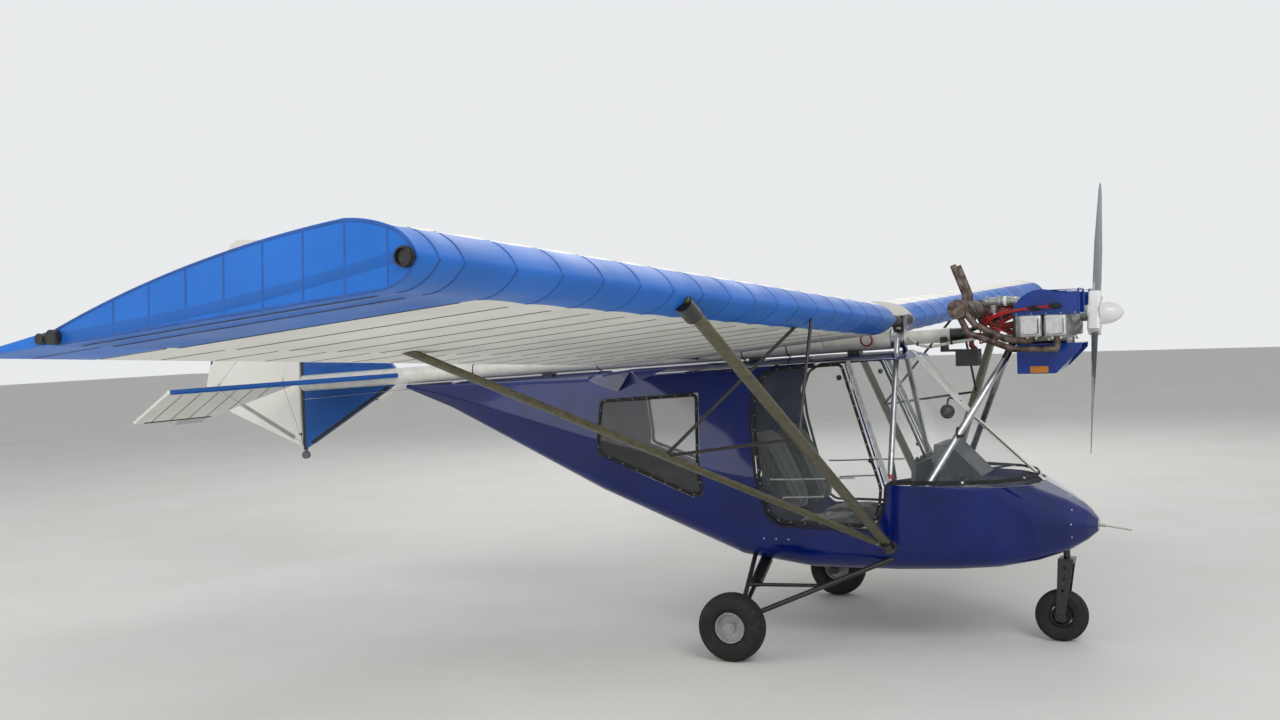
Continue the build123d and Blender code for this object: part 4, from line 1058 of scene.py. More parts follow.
def addDoorFittings(side, word):
    body = bodyOf("door_" + word)
    surface = surfaceOf("door_" + word)
    inward = (0, -side, 0)
    lines = []
    for (x1, z1), (x2, z2) in doorFittings["rods"]:
        laid = layOn(surface, lineBetween(at(x1, 0, z1), at(x2, 0, z2), 6), inward)
        first, last = (place + out * 0.001 for place, out in (laid[0], laid[-1]))
        lines.append([first] + [place - out * doorFittings["standOff"] for place, out in laid] + [last])
    addPiping(f"door_rods_{word}", lines, doorFittings["rodRadius"], satinTube, body, 10)
    spots = (doorFittings["knob"], doorFittings["catch"])
    knob, catch = (layOn(surface, [at(x, 0, z)], inward) for x, z in spots)
    addStuds(f"door_knob_{word}", knob, 0.014, 0.016, blackNylon, body, 20)
    addStuds(f"door_catch_{word}", catch, 0.016, 0.009, blackNylon, body, 6, discs)


for side, word in sides:
    addDoorFittings(side, word)


# Pod's folded-in vents: two facets close each notch in its shoulder, (station, z) along the fold's rim
vents = {"rim": ((-1.858, 1.468), (-1.628, 1.392), (-1.376, 1.497)), "roofHalfWidth": 0.146, "thick": 0.004}


def addVentFacets():
    pod = surfaceOf("pod_shell")
    for side, word in sides:
        top = []
        for ahead, z in vents["rim"]:
            top += [p for p, _ in layOn(pod, [at(ahead, side * 0.9, z)], (0, -side, 0))]
        for ahead, _ in vents["rim"]:
            top += [p for p, _ in layOn(pod, [at(ahead, side * vents["roofHalfWidth"], 2.0)], (0, 0, -1))]
        low = [p - Vector((0, 0, vents["thick"])) for p in top]
        parts = [blockOver([p[k] for p in (low, top) for k in (i, i + 1, i + 4, i + 3)])
                 for i in (0, 1)]
        newPiece(f"vent_facets_{word}", *joined(parts), [podBlue], "airframe", 20)


addVentFacets()


# Windscreen: rubber sill strip with nylon screws, grooved centre strip and compass
screen = {
    "sillZ": 0.903, "sillWidth": 0.022, "sillHeight": 0.0032, "hub": 0.3, "sweep": 118, "screws": 11,
    "band": ((0.09, 1.549), (0.427, 1.218), (0.73, 0.912)), "bandWidth": 0.116, "beadAside": 0.012,
    "bandScrews": ((0.11, 1.535), (0.752, 0.893)),
}
compass = {"bowl": 0.041, "centre": (0.255, 0, 1.244),
           "window": ((0.244, -0.022, 1.228), (0.262, 0.022, 1.26)),
           "bracket": ((0.255, 0, 1.277), (0.27, 0, 1.32), (0.335, 0, 1.3)), "bracketRadius": 0.006}


def addSillStrip():
    both = surfaceOf("windscreen", "pod_shell")
    hub = at(screen["hub"], 0, screen["sillZ"])
    laid = []
    for k in range(121):
        turn = math.radians(screen["sweep"] * (k / 60 - 1))
        laid += layOn(both, [hub], (-math.cos(turn), -math.sin(turn), 0))
    addStrips("sill_strip", [laid], screen["sillWidth"], screen["sillHeight"], blackRubber, "airframe")
    run = sum((b[0] - a[0]).length for a, b in zip(laid, laid[1:]))
    heads = [(p + n * 0.0034, n) for p, n in spacedAlong(laid, run / screen["screws"])]
    addStuds("sill_screws", heads, 0.007, 0.003, whitePlastic, "airframe", 14)


def addCentreBand():
    strip = surfaceOf("windscreen_strip")
    inward = (-0.7, 0, -0.7)
    path = fillIn([at(x, 0, z) for x, z in screen["band"]], 0.03)
    addStrips("centre_band", [layOn(strip, path, inward)], screen["bandWidth"], 0.003, whitePlastic,
              "airframe")
    for side, word in sides:
        bead = layOn(strip, [p + Vector((0, side * screen["beadAside"], 0)) for p in path], inward)
        addStrips(f"centre_strip_bead_{word}", [bead], 0.006, 0.0052, whiteEnamel, "airframe")
    ends = (at(x, 0, z) for x, z in screen["bandScrews"])
    heads = layOn(strip, lineBetween(*ends, 6), inward)
    addStuds("centre_strip_screws", heads, 0.0045, 0.002, brightScrew, "airframe", 12)


def addCompass():
    bowl = compass["bowl"]
    arc = [(bowl * math.sin(math.pi * k / 16), -bowl * math.cos(math.pi * k / 16)) for k in range(1, 16)]
    addLathe("compass_bowl", [(0.0, -bowl)] + arc + [(0.0, bowl)], at(*compass["centre"]), (1, 0, 0), dialBlack,
             "airframe", 32)
    addPiping("compass_bracket", [[at(*place) for place in compass["bracket"]]], compass["bracketRadius"],
              blackEnamel, "airframe", 10, 6)
    window = boxBetween(*(at(*corner) for corner in compass["window"]))
    newPiece("compass_window", *window, [dialBlack], "airframe")


addSillStrip()
addCentreBand()
addCompass()
print("windscreen trimmed")


# Instrument panel: bezelled dials with marks and hubs, given as (across, up, radius), and a row of switches
dials = ((-0.36, 0.985, 0.040), (-0.255, 0.985, 0.040), (-0.15, 0.985, 0.040), (0.15, 0.985, 0.040),
         (0.255, 0.985, 0.040), (0.36, 0.985, 0.040), (-0.05, 0.995, 0.028), (0.05, 0.995, 0.028))
bezel = ((0.0, 0.004), (0.84, 0.004), (0.86, 0.0075), (0.95, 0.0085), (1.0, 0.005), (1.0, -0.002))
switches = {"from": -0.2, "to": 0.196, "z": 0.915}


def addInstruments():
    front = surfaceOf("instrument_panel")
    marks, hubs = [], []
    for i, (y, z, radius) in enumerate(dials):
        place, out = layOn(front, [at(0, y, z)], (1, 0, 0))[0]
        profile = [(share * radius, lift) for share, lift in bezel]
        addLathe(f"dial_{i + 1}", profile, place, out, dialBlack, "airframe", 40)
        for turn in (math.radians(30 * k) for k in range(12)):
            spoke = Vector((0, math.cos(turn), math.sin(turn))) * radius * 0.72
            marks.append((place + out * 0.0046 + spoke, out))
        hubs.append((place + out * 0.005, out))
    addStuds("dial_marks", marks, 0.0018, 0.0008, whitePlastic, "airframe", 8)
    addStuds("dial_hubs", hubs, 0.004, 0.002, whitePlastic, "airframe", 12)
    row = lineBetween(at(0, switches["from"], switches["z"]), at(0, switches["to"], switches["z"]), 11)
    addStuds("panel_switches", layOn(front, row, (1, 0, 0)), 0.006, 0.014, brightScrew, "airframe", 10)


# The pleated rubber boot at the control stick's foot, as (radius, height) along the stick
boot = {"profile": ((0.055, 0.0), (0.05, 0.012), (0.056, 0.02), (0.043, 0.032), (0.047, 0.042), (0.032, 0.056),
                    (0.02, 0.075), (0.0155, 0.09)), "lean": 0.03, "rise": 0.5,
        "stickHalf": 0.017, "lift": 0.02}


def addStickBoot():
    low, top = (Vector(corner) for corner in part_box("control_stick"))
    aim = Vector((top.x - low.x - boot["lean"], 0, boot["rise"])).normalized()
    foot = Vector((low.x + boot["stickHalf"], 0, low.z + boot["lift"]))
    addLathe("stick_boot", boot["profile"], foot, aim, blackRubber, "airframe", 40)


# Red plastic caps over the cabin tubes' feet
footCap = {"profile": ((0.0165, 0.0), (0.021, 0.0), (0.021, 0.022), (0.0165, 0.026)),
           "place": (0.0397, 0.4483, 0.909), "aim": (-0.0516, -0.503, 0.863)}


def addFootCaps():
    (x, y, z), (a, b, c) = footCap["place"], footCap["aim"]
    for side, word in sides:
        addLathe(f"foot_cap_{word}", footCap["profile"], at(x, side * y, z), (a, side * b, c), redPlastic,
                 "airframe", 32)


addInstruments()
addStickBoot()
addFootCaps()
print("cabin fitted")


# Engine: cooling fins, bolts, leads, carburettors and red ducting. Places are (ahead, out, up)
engine = {
    "cylinders": (0.770, 0.896), "z": 1.705, "finRadius": 0.0655, "finFrom": 0.118, "finTo": 0.246,
    "finEvery": 0.008, "finThick": 0.0022, "coverFace": 0.353, "coverBolt": 0.029, "plugOut": 0.255,
    "plugUp": 0.066,
}
corners = ((-1, -1), (-1, 1), (1, -1), (1, 1))


def addCoolingFins():
    fins, bolts, plugs = [], [], []
    count = int((engine["finTo"] - engine["finFrom"]) / engine["finEvery"])
    for x in engine["cylinders"]:
        for side in (-1, 1):
            outs = (engine["finFrom"] + engine["finEvery"] * k for k in range(count))
            fins += [(at(x, side * out, engine["z"]), (0, side, 0)) for out in outs]
            for dx, dz in corners:
                cover = at(x, side * engine["coverFace"], engine["z"])
                bolts.append((cover + Vector((dx, 0, dz)) * engine["coverBolt"], (0, side, 0)))
            plugs.append((at(x, side * engine["plugOut"], engine["z"] + engine["plugUp"]), (0, 0, 1)))
    addStuds("cylinder_fins", fins, engine["finRadius"], engine["finThick"], rawCasting, "airframe", 36,
             discs)
    addStuds("rocker_cover_bolts", bolts, 0.0055, 0.006, brightScrew, "airframe", 6, discs)
    addStuds("plug_hexes", plugs, 0.010, 0.03, brightScrew, "airframe", 6, discs)


# Plug leads: a shared way out from the coils, with each lead's step up from the one before, then its own plug
leads = {
    "way": ((0.46, 0.07, 1.655, -0.012), (0.495, 0.18, 1.70, 0.006), (0.568, 0.285, 1.748, 0.005),
            (0.675, 0.312, 1.782, 0.003)),
    "plugs": ((0.765, 1.800), (0.782, 1.792), (0.872, 1.809), (0.888, 1.801)), "plugOut": 0.3115,
    "radius": 0.0042,
    "coil": (((0.47, 0.09, 1.62), (0.56, 0.17, 1.655), (0.61, 0.19, 1.72), (0.585, 0.16, 1.79),
              (0.64, 0.13, 1.80)),
             ((0.47, 0.10, 1.64), (0.53, 0.2, 1.70), (0.60, 0.21, 1.69), (0.66, 0.16, 1.665))),
    "coilRadius": 0.00504, "capAhead": 0.018, "capUp": 0.002, "capRadius": 0.0095, "capLength": 0.046,
}


def addPlugLeads():
    lines, caps, coilLines = [], [], []
    for side in (-1, 1):
        out = side * leads["plugOut"]
        for number, (ahead, z) in enumerate(leads["plugs"]):
            way = [at(x, side * y, up + step * number) for x, y, up, step in leads["way"]]
            lines.append(way + [at(ahead, out, z)])
            caps.append((at(ahead + leads["capAhead"], out, z + leads["capUp"]), (1, 0, 0.1)))
        coilLines += [[at(x, side * y, z) for x, y, z in way] for way in leads["coil"]]
    addPiping("plug_leads", lines, leads["radius"], leadRed, "airframe", 8, 6)
    addPiping("coil_leads", coilLines, leads["coilRadius"], leadRed, "airframe", 8, 6)
    addStuds("plug_caps", caps, leads["capRadius"], leads["capLength"], blackRubber, "airframe", 14, discs)


# Carburettors: turned outlines as (radius, distance along the axis)
carburettor = {
    "place": (0.545, 0.15, 1.842), "bowlFrom": (0.01, 0, -0.018), "inletRadius": 0.0185,
    "body": ((0.0, -0.03), (0.027, -0.03), (0.029, -0.02), (0.022, -0.012), (0.022, 0.03), (0.031, 0.034),
             (0.031, 0.052), (0.024, 0.056), (0.024, 0.1), (0.0, 0.1)),
    "bowl": ((0.0, -0.045), (0.022, -0.045), (0.025, -0.04), (0.025, -0.012), (0.028, -0.008), (0.028, 0.0),
             (0.0, 0.0)),
    "band": ((0.0248, 0.066), (0.027, 0.066), (0.027, 0.082), (0.0248, 0.082)),
    "inlet": ((0.64, 0.15, 1.842), (0.68, 0.15, 1.835), (0.712, 0.155, 1.80), (0.74, 0.165, 1.755)),
}


def addCarburettors():
    x, y, z = carburettor["place"]
    for side, word in sides:
        middle = at(x, side * y, z)
        under = middle + Vector(carburettor["bowlFrom"])
        inlet = [at(a, side * b, c) for a, b, c in carburettor["inlet"]]
        addLathe(f"carburettor_{word}", carburettor["body"], middle, (1, 0, 0), rawCasting, "airframe", 36)
        addLathe(f"float_bowl_{word}", carburettor["bowl"], under, (0, 0, 1), rawCasting, "airframe", 32)
        addLathe(f"carburettor_band_{word}", carburettor["band"], middle, (1, 0, 0), whitePlastic, "airframe",
                 36)
        addPiping(f"inlet_pipe_{word}", [inlet], carburettor["inletRadius"], rawCasting, "airframe", 20, 8)


# Ribbed red ducts on the starboard side: radius, and the way each one takes
redDucts = (
    (0.019, ((0.50, -0.1, 1.735), (0.517, -0.1, 1.775), (0.549, -0.1, 1.822), (0.60, -0.095, 1.836),
             (0.668, -0.09, 1.792))),
    (0.017, ((0.51, -0.09, 1.742), (0.545, -0.09, 1.712), (0.60, -0.085, 1.706), (0.668, -0.08, 1.722))),
    (0.012, ((0.40, -0.08, 1.66), (0.418, -0.08, 1.635), (0.414, -0.08, 1.61), (0.44, -0.08, 1.585))),
)
ductRib = {"every": 0.006, "proud": 0.0022, "thick": 0.0028}


def addRedDucts():
    for number, (radius, way) in enumerate(redDucts, 1):
        line = [at(*place) for place in way]
        addPiping(f"red_duct_{number}", [line], radius, ductRed, "airframe", 18, 10)
        path = fillIn(roundOff(line, 3, False), ductRib["every"])
        ribs = [(b, c - a) for a, b, c in zip(path, path[1:], path[2:])]
        ribRadius = radius + ductRib["proud"]
        addStuds(f"red_duct_ribs_{number}", ribs, ribRadius, ductRib["thick"], ductRed, "airframe", 20, discs)


# The cooler lies in the cowl's slanted mouth: low and high edge of its face, and its depth
cooler = {"low": (0.884, 1.468), "high": (0.958, 1.588), "depth": 0.02, "halfWidth": 0.112, "fins": 30,
          "finThick": 0.0022, "tankShare": 0.08, "tankProud": 0.004,
          "plate": ((0.733, -0.1275, 1.455), (0.827, -0.1245, 1.490))}


def coolerBlock(y1, y2, startShare, endShare, proud):
    (x1, z1), (x2, z2) = cooler["low"], cooler["high"]
    along = Vector((x2 - x1, 0, z2 - z1))
    out = Vector((along.z, 0, -along.x)).normalized()
    places = []
    for share in (startShare, endShare):
        base = at(x1, 0, z1) + along * share
        for depth, y in ((-cooler["depth"], y1), (proud, y1), (proud, y2), (-cooler["depth"], y2)):
            places.append(base + out * depth + Vector((0, y, 0)))
    return blockOver(places)


def addCooler():
    half, tank, proud = cooler["halfWidth"], cooler["tankShare"], cooler["tankProud"]
    newPiece("oil_cooler_core", *coolerBlock(-half, half, 0, 1, -proud), [blackEnamel], "airframe")
    starts = [-half + 2 * half / cooler["fins"] * k for k in range(cooler["fins"])]
    slats = [coolerBlock(y, y + cooler["finThick"], tank, 1 - tank, 0) for y in starts]
    newPiece("oil_cooler_fins", *joined(slats), [satinTube], "airframe")
    tanks = [coolerBlock(-half, half, start, end, proud) for start, end in ((0, tank), (1 - tank, 1))]
    newPiece("oil_cooler_tanks", *joined(tanks), [satinTube], "airframe")
    newPiece("cowl_plate", *boxBetween(*(at(*place) for place in cooler["plate"])), [orangePlate], "airframe")


# Crankcase nuts by (ahead, up), and a pair of pushrod tubes under each cylinder
crankcase = {"nutsAhead": (0.69, 0.735, 0.833, 0.945), "nutsUp": (1.632, 1.778), "nutsOut": 0.11,
             "rodAside": 0.022, "rodFrom": (0.112, 1.645), "rodTo": (0.262, 1.642), "rodRadius": 0.0075}


def addCaseDetail():
    nuts, rods = [], []
    for side in (-1, 1):
        nuts += [(at(x, side * crankcase["nutsOut"], z), (0, side, 0))
                 for x in crankcase["nutsAhead"] for z in crankcase["nutsUp"]]
        for x in engine["cylinders"]:
            for way in (-1, 1):
                ends = (crankcase["rodFrom"], crankcase["rodTo"])
                rods.append([at(x + way * crankcase["rodAside"], side * y, z) for y, z in ends])
    addStuds("case_nuts", nuts, 0.008, 0.012, brightScrew, "airframe", 6, discs)
    addPiping("pushrod_tubes", rods, crankcase["rodRadius"], brightScrew, "airframe", 12)


# A plate with rounded corners and a chamfered rim, standing off a side face
def roundedPlate(centre, side, half, corner, thickness):
    outline = []
    flat = half - corner
    for quarter, (sx, sz) in enumerate(((1, 1), (-1, 1), (-1, -1), (1, -1))):
        for turn in (math.pi / 2 * (quarter + k / 6) for k in range(7)):
            outline.append((sx * flat + corner * math.cos(turn), sz * flat + corner * math.sin(turn)))
    points, faces = [], []
    for shrink, lift in ((1.0, 0.0), (1.0, thickness * 0.6), (0.93, thickness)):
        points += [Vector(centre) + Vector((x * shrink, side * lift, z * shrink)) for x, z in outline]
    count = len(outline)
    for ring in range(2):
        for k in range(count):
            a, b = ring * count + k, ring * count + (k + 1) % count
            faces.append((a, b, b + count, a + count))
    faces += [tuple(range(count)), tuple(2 * count + k for k in range(count))]
    return points, faces


# Rocker covers: each plate by its distance out, half its width, corner radius and thickness
rockerPlates = (("rocker_cover_plates", 0.3448, 0.0425, 0.012, 0.008),
                ("rocker_cover_flanges", 0.3, 0.052, 0.01, 0.006))


def addRockerPlates():
    for name, out, half, corner, thickness in rockerPlates:
        plates = [roundedPlate(at(x, side * out, engine["z"]), side, half, corner, thickness)
                  for x in engine["cylinders"] for side in (-1, 1)]
        newPiece(name, *joined(plates), [paleCasting], "airframe")


# Rolled lips round the ducts' mouths, and the row of studs along each duct's foot
airDuct = {"mouth": ((0.115, 1.765), (0.297, 1.765), (0.297, 1.89), (0.115, 1.89)), "ahead": 1.0135,
           "lipRadius": 0.0055, "studs": (0.70, 0.775, 0.85, 0.925, 0.995), "studOut": 0.3005, "studUp": 1.769}


def addDuctLips():
    lips, studs = [], []
    for side in (-1, 1):
        mouth = [at(airDuct["ahead"], side * y, z) for y, z in airDuct["mouth"]]
        lips.append(roundOff(fillIn(mouth, 0.03, True), 2, True))
        studs += [(at(x, side * airDuct["studOut"], airDuct["studUp"]), (0, side, 0))
                  for x in airDuct["studs"]]
    addPiping("duct_lips", lips, airDuct["lipRadius"], ductBlue, "airframe", 10, 1, True)
    addStuds("duct_studs", studs, 0.005, 0.005, brightScrew, "airframe", 12)


# Weld seams round the exhaust drum, and the two black straps that hang it
drum = {"axis": (0.388, 1.806), "seams": (-0.285, -0.2, 0.2, 0.285), "seamAt": 0.0505, "seamRadius": 0.0028,
        "strap": ((0.42, 1.842), (0.45, 1.815), (0.472, 1.775), (0.46, 1.735)), "strapOut": 0.2,
        "strapRadius": 0.005}


def addExhaustBands():
    x, z = drum["axis"]
    seams = [circleLine(at(x, y, z), (0, 1, 0), drum["seamAt"], 40) for y in drum["seams"]]
    straps = [[at(a, side * drum["strapOut"], c) for a, c in drum["strap"]] for side in (-1, 1)]
    addPiping("muffler_seams", seams, drum["seamRadius"], exhaustSteel, "airframe", 8, 1, True)
    addPiping("muffler_straps", straps, drum["strapRadius"], blackEnamel, "airframe", 8, 5)


addCoolingFins()
addPlugLeads()
addCarburettors()
addRedDucts()
addCooler()
addCaseDetail()
addRockerPlates()
addDuctLips()
addExhaustBands()
print("engine dressed")


# Spinner: one long curve from the hub's face to a blunt point, and the hub's four bolts
spinner = {"foot": (1.087, 0, 1.762), "radius": 0.062, "length": 0.115, "fullness": 2.3, "bluntness": 0.62}
hubBolts = {"ahead": 1.088, "aside": 0.034, "upDown": 0.078, "shaftZ": 1.762, "radius": 0.008,
            "height": 0.007}


def addSpinner():
    shares = [k / 24 for k in range(25)]
    profile = [(spinner["radius"] * (1 - share ** spinner["fullness"]) ** spinner["bluntness"],
                spinner["length"] * share) for share in shares]
    dome = addLathe("spinner_dome", [(0.0, 0.0)] + profile, at(*spinner["foot"]), (1, 0, 0), spinnerWhite,
                    bodyOf("spinner"), 64)
    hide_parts("spinner")


def addHubBolts():
    spots = [at(hubBolts["ahead"], dy * hubBolts["aside"], hubBolts["shaftZ"] + dz * hubBolts["upDown"])
             for dz, dy in corners]
    heads = layOn(surfaceOf("propeller"), spots, (-1, 0, 0))
    addStuds("hub_bolts", heads, hubBolts["radius"], hubBolts["height"], brightScrew, bodyOf("propeller"), 6,
             discs)


addSpinner()
addHubBolts()


# Main wheels: bolt circle, the dished hub's lip and the axle nut
mainWheel = {"centre": (1.235, 0.935, 0.180), "bolts": 6, "boltCircle": 0.045, "firstBolt": 0.3,
             "lipAt": 0.0775, "lipOut": 0.0425, "lipRadius": 0.003, "nutOut": 0.981,
             "nutRadius": 0.016, "nutHeight": 0.009}


def addWheelFittings(side, name):
    x, y, z = mainWheel["centre"]
    centre, out = Vector((x, side * y, z)), Vector((0, side, 0))
    turns = [2 * math.pi * k / mainWheel["bolts"] + mainWheel["firstBolt"] for k in range(mainWheel["bolts"])]
    spots = [centre + Vector((math.cos(turn), 0, math.sin(turn))) * mainWheel["boltCircle"] for turn in turns]
    heads = layOn(surfaceOf(name), spots, -out)
    addStuds(name + "_bolts", heads, 0.0055, 0.005, brightScrew, bodyOf(name), 6, discs)
    lip = circleLine(centre + out * mainWheel["lipOut"], out, mainWheel["lipAt"], 48)
    addPiping(name + "_lip", [lip], mainWheel["lipRadius"], wheelEnamel, bodyOf(name), 8, 1, True)


def addAxleNut(side, word):
    x, _, z = mainWheel["centre"]
    addStuds(f"axle_nut_{word}", [((x, side * mainWheel["nutOut"], z), (0, side, 0))], mainWheel["nutRadius"],
             mainWheel["nutHeight"], brightScrew, "airframe", 6, discs)


for side, word in sides:
    addWheelFittings(side, "main_wheel_" + word)
for side, word in sides:
    addAxleNut(side, word)
print("wheels bolted")


# Struts: bolts through their feet and their upper ends
strutBolts = {"feet": ((0.054, 0.561), (0.02, 0.60)), "topAside": 0.018, "topOut": 3.03, "topFrom": 1.6,
              "radius": 0.009, "height": 0.008}


def addStrutBolts():
    feet, tops = [], []
    for side, word in sides:
        spots = [at(x, 0, z) for x, z in strutBolts["feet"]]
        for name in ("lift_struts_", "jury_struts_"):
            feet += layOn(surfaceOf(name + word), spots, (0, -side, 0))
        spots = [at(way * strutBolts["topAside"], side * strutBolts["topOut"], strutBolts["topFrom"])
                 for way in (-1, 1)]
        tops += layOn(surfaceOf("lift_struts_" + word), spots, (0, 0, 1))
    for name, heads in (("strut_foot_bolts", feet), ("strut_top_bolts", tops)):
        addStuds(name, heads, strutBolts["radius"], strutBolts["height"], brightScrew, "airframe", 6, discs)


# Black cups over the front struts' upper ends, and the clevis blocks at their feet
strutEnds = {"foot": (0.054, 0.546, 0.561), "top": (0.0, 3.06, 1.858), "cup": (0.958, 0.995),
             "cupRadius": 0.036, "clevis": (0.004, 0.035), "clevisRadius": 0.031}


def addStrutCups():
    cups, clevises = [], []
    for side in (-1, 1):
        foot, top = (at(x, side * y, z) for x, y, z in (strutEnds["foot"], strutEnds["top"]))
        cups.append([foot.lerp(top, share) for share in strutEnds["cup"]])
        clevises.append([foot.lerp(top, share) for share in strutEnds["clevis"]])
    addPiping("strut_cups", cups, strutEnds["cupRadius"], blackEnamel, "airframe", 24)
    addPiping("strut_clevises", clevises, strutEnds["clevisRadius"], blackEnamel, "airframe", 20)


addStrutBolts()
addStrutCups()


# Cables: taut rigging fixed at both ends, as (ahead, out, up) on each side
rigging = {
    "tailOuter": ((-4.18, 0.881, 1.478), (-4.18, 0.262, 1.475)), "keel": (-4.225, 0.012, 1.055),
    "finTop": (-4.21, 0.012, 2.20), "upperEnd": 0.022, "radius": 0.0016, "endRadius": 0.0045,
    "endLength": 0.05,
    "aileronCable": ((0.0, 1.55, 1.79), (-0.352, 0.3, 1.629), (-0.36, 0.06, 1.63)),
    "rudderCable": ((-3.33, 0.02, 1.42), (-4.22, 0.014, 1.36)),
}


def addRigging():
    lines = []
    for side in (-1, 1):
        def onSide(x, y, z):
            return at(x, side * y, z)

        for x, y, z in rigging["tailOuter"]:
            lines.append([onSide(x, y, z), onSide(*rigging["keel"])])
            lines.append([onSide(x, y, z + rigging["upperEnd"]), onSide(*rigging["finTop"])])
        lines += [[onSide(*place) for place in rigging[name]] for name in ("aileronCable", "rudderCable")]
    addPiping("rigging_wires", lines, rigging["radius"], brightScrew, "airframe", 6)
    ends = [(line[0], line[1] - line[0]) for line in lines[:8]]
    addStuds("rigging_ends", ends, rigging["endRadius"], rigging["endLength"], brightScrew, "airframe", 8,
             discs)


# Boom: straps square to its slope, the looped lead, and the sleeve hose with its bands
boom = {
    "height": 1.657, "slope": 0.0437, "straps": (-0.94, -0.66, -1.9, -2.8), "strapAt": 0.0565,
    "strapRadius": 0.0035,
    "loop": (-0.177, -0.064, 1.655), "loopAt": 0.033, "loopRadius": 0.0045, "sleeveRadius": 0.0085,
    "sleeve": ((0.06, -0.07, 1.662), (0.13, -0.11, 1.625), (0.205, -0.13, 1.611), (0.319, -0.125, 1.628),
               (0.42, -0.11, 1.64), (0.48, -0.1, 1.66)),
    "bandAims": ((1, -0.3, -0.2), (1, 0, 0), (1, 0, 0.15)), "bandRadius": 0.0105, "bandLength": 0.012,
}


def addBoomFittings():
    slope = boom["slope"]
    straps = [circleLine(at(x, 0, boom["height"] + slope * x), (1, 0, slope), boom["strapAt"], 40)
              for x in boom["straps"]]
    addPiping("boom_straps", straps, boom["strapRadius"], blackNylon, "airframe", 6, 1, True)
    loop = circleLine(at(*boom["loop"]), (0, 1, 0.2), boom["loopAt"], 20)
    addPiping("looped_lead", [loop], boom["loopRadius"], leadRed, "airframe", 8, 4, True)
    sleeve = [at(*place) for place in boom["sleeve"]]
    addPiping("sleeve_hose", [sleeve], boom["sleeveRadius"], sleeveWhite, "airframe", 12, 8)
    addStuds("sleeve_bands", list(zip(sleeve[1:4], boom["bandAims"])), boom["bandRadius"], boom["bandLength"],
             blackRubber, "airframe", 16, discs)


addRigging()
addBoomFittings()
print("rigging and boom fitted")


# Tail: batten pockets, seams and taped edges. The level panels' lines run fore and aft at each rib
levelTail = {
    "ribs": (0.2, 0.36, 0.52, 0.68, 0.84, 1.0, 1.16), "pocket": (-4.215, -4.475), "seam": (-4.17, -3.45),
    "edgeAhead": -4.48, "edge": (0.12, 1.22), "pocketWidth": 0.008, "seamWidth": 0.009, "edgeWidth": 0.014,
}


def addLevelSeams(side, word):
    stabiliser, elevator = surfaceOf("stabiliser_" + word), surfaceOf("elevator_" + word)
    body = bodyOf("elevator_" + word)
    pockets, seams = [], []
    for y in levelTail["ribs"]:
        pocket = lineBetween(*(at(x, side * y, 0) for x in levelTail["pocket"]), 10)
        seam = lineBetween(*(at(x, side * y, 0) for x in levelTail["seam"]), 16)
        pockets += layOnBoth(elevator, pocket, (0, 0, -1))
        seams += layOnBoth(stabiliser, seam, (0, 0, -1))
    edge = lineBetween(*(at(levelTail["edgeAhead"], side * y, 0) for y in levelTail["edge"]), 30)
    addStrips(f"elevator_battens_{word}", pockets, levelTail["pocketWidth"], tapeHeight, battenPocketShade, body)
    addStrips(f"stabiliser_seams_{word}", seams, levelTail["seamWidth"], tapeHeight, seamBlue, "airframe")
    addStrips(f"elevator_edge_{word}", layOnBoth(elevator, edge, (0, 0, -1)), levelTail["edgeWidth"], 0.0014,
              blackNylon, body)


# The rudder's curved rear edge, found on the rudder itself, and taped a little way in
rearEdge = {"low": 1.62, "high": 2.37, "from": -5.08, "step": 0.004, "tries": 150, "inset": 0.009}


def rearEdgeLine():
    rudder = surfaceOf("rudder")
    line = []
    for z in (rearEdge["low"] + (rearEdge["high"] - rearEdge["low"]) * k / 20 for k in range(21)):
        tries = (rearEdge["from"] + rearEdge["step"] * k for k in range(rearEdge["tries"]))
        rearMost = next(x for x in tries if layOn(rudder, [at(x, 0, z)], (0, 1, 0)))
        line.append(at(rearMost + rearEdge["inset"], 0, z))
    return line


# Upright panels: each piece's panel, its lines as (from, to, spaces), its width, height and finish
uprightSeams = (
    ("ventral_edge", "ventral_fin", (((-4.155, 1.06), (-3.49, 1.438), 30),), 0.022, 0.0016, blackNylon),
    ("rudder_lower_edge", "rudder", (((-4.30, 1.095), (-5.0, 1.455), 30),), 0.03, tapeHeight, hemGrey),
    ("rudder_rear_edge", "rudder", (), 0.014, tapeHeight, darkBlueEdge),
    ("rudder_battens", "rudder", (
        ((-4.27, 1.648), (-5.07, 1.648), 20), ((-4.27, 1.95), (-4.99, 1.95), 20),
        ((-4.27, 2.25), (-4.82, 2.25), 20),
    ), 0.008, tapeHeight, battenPocketShade),
    ("fin_seams", "fin", tuple(((x, 1.54), (x, 2.39), 20) for x in (-3.62, -3.8, -3.98)), 0.009, tapeHeight,
     seamBlue),
    ("fin_band", "fin", (((-4.19, 1.596), (-3.49, 1.596), 20),), 0.034, tapeHeight, seamBlue),
)


def addUprightSeams():
    for name, panel, lines, width, height, finish in uprightSeams:
        drawn = [lineBetween(at(x1, 0, z1), at(x2, 0, z2), count) for (x1, z1), (x2, z2), count in lines]
        surface = surfaceOf(panel)
        runs = [run for line in drawn or [rearEdgeLine()] for run in layOnBoth(surface, line, (0, 1, 0))]
        addStrips(name, runs, width, height, finish, bodyOf(panel))


for side, word in sides:
    addLevelSeams(side, word)
addUprightSeams()
print("tail seamed")


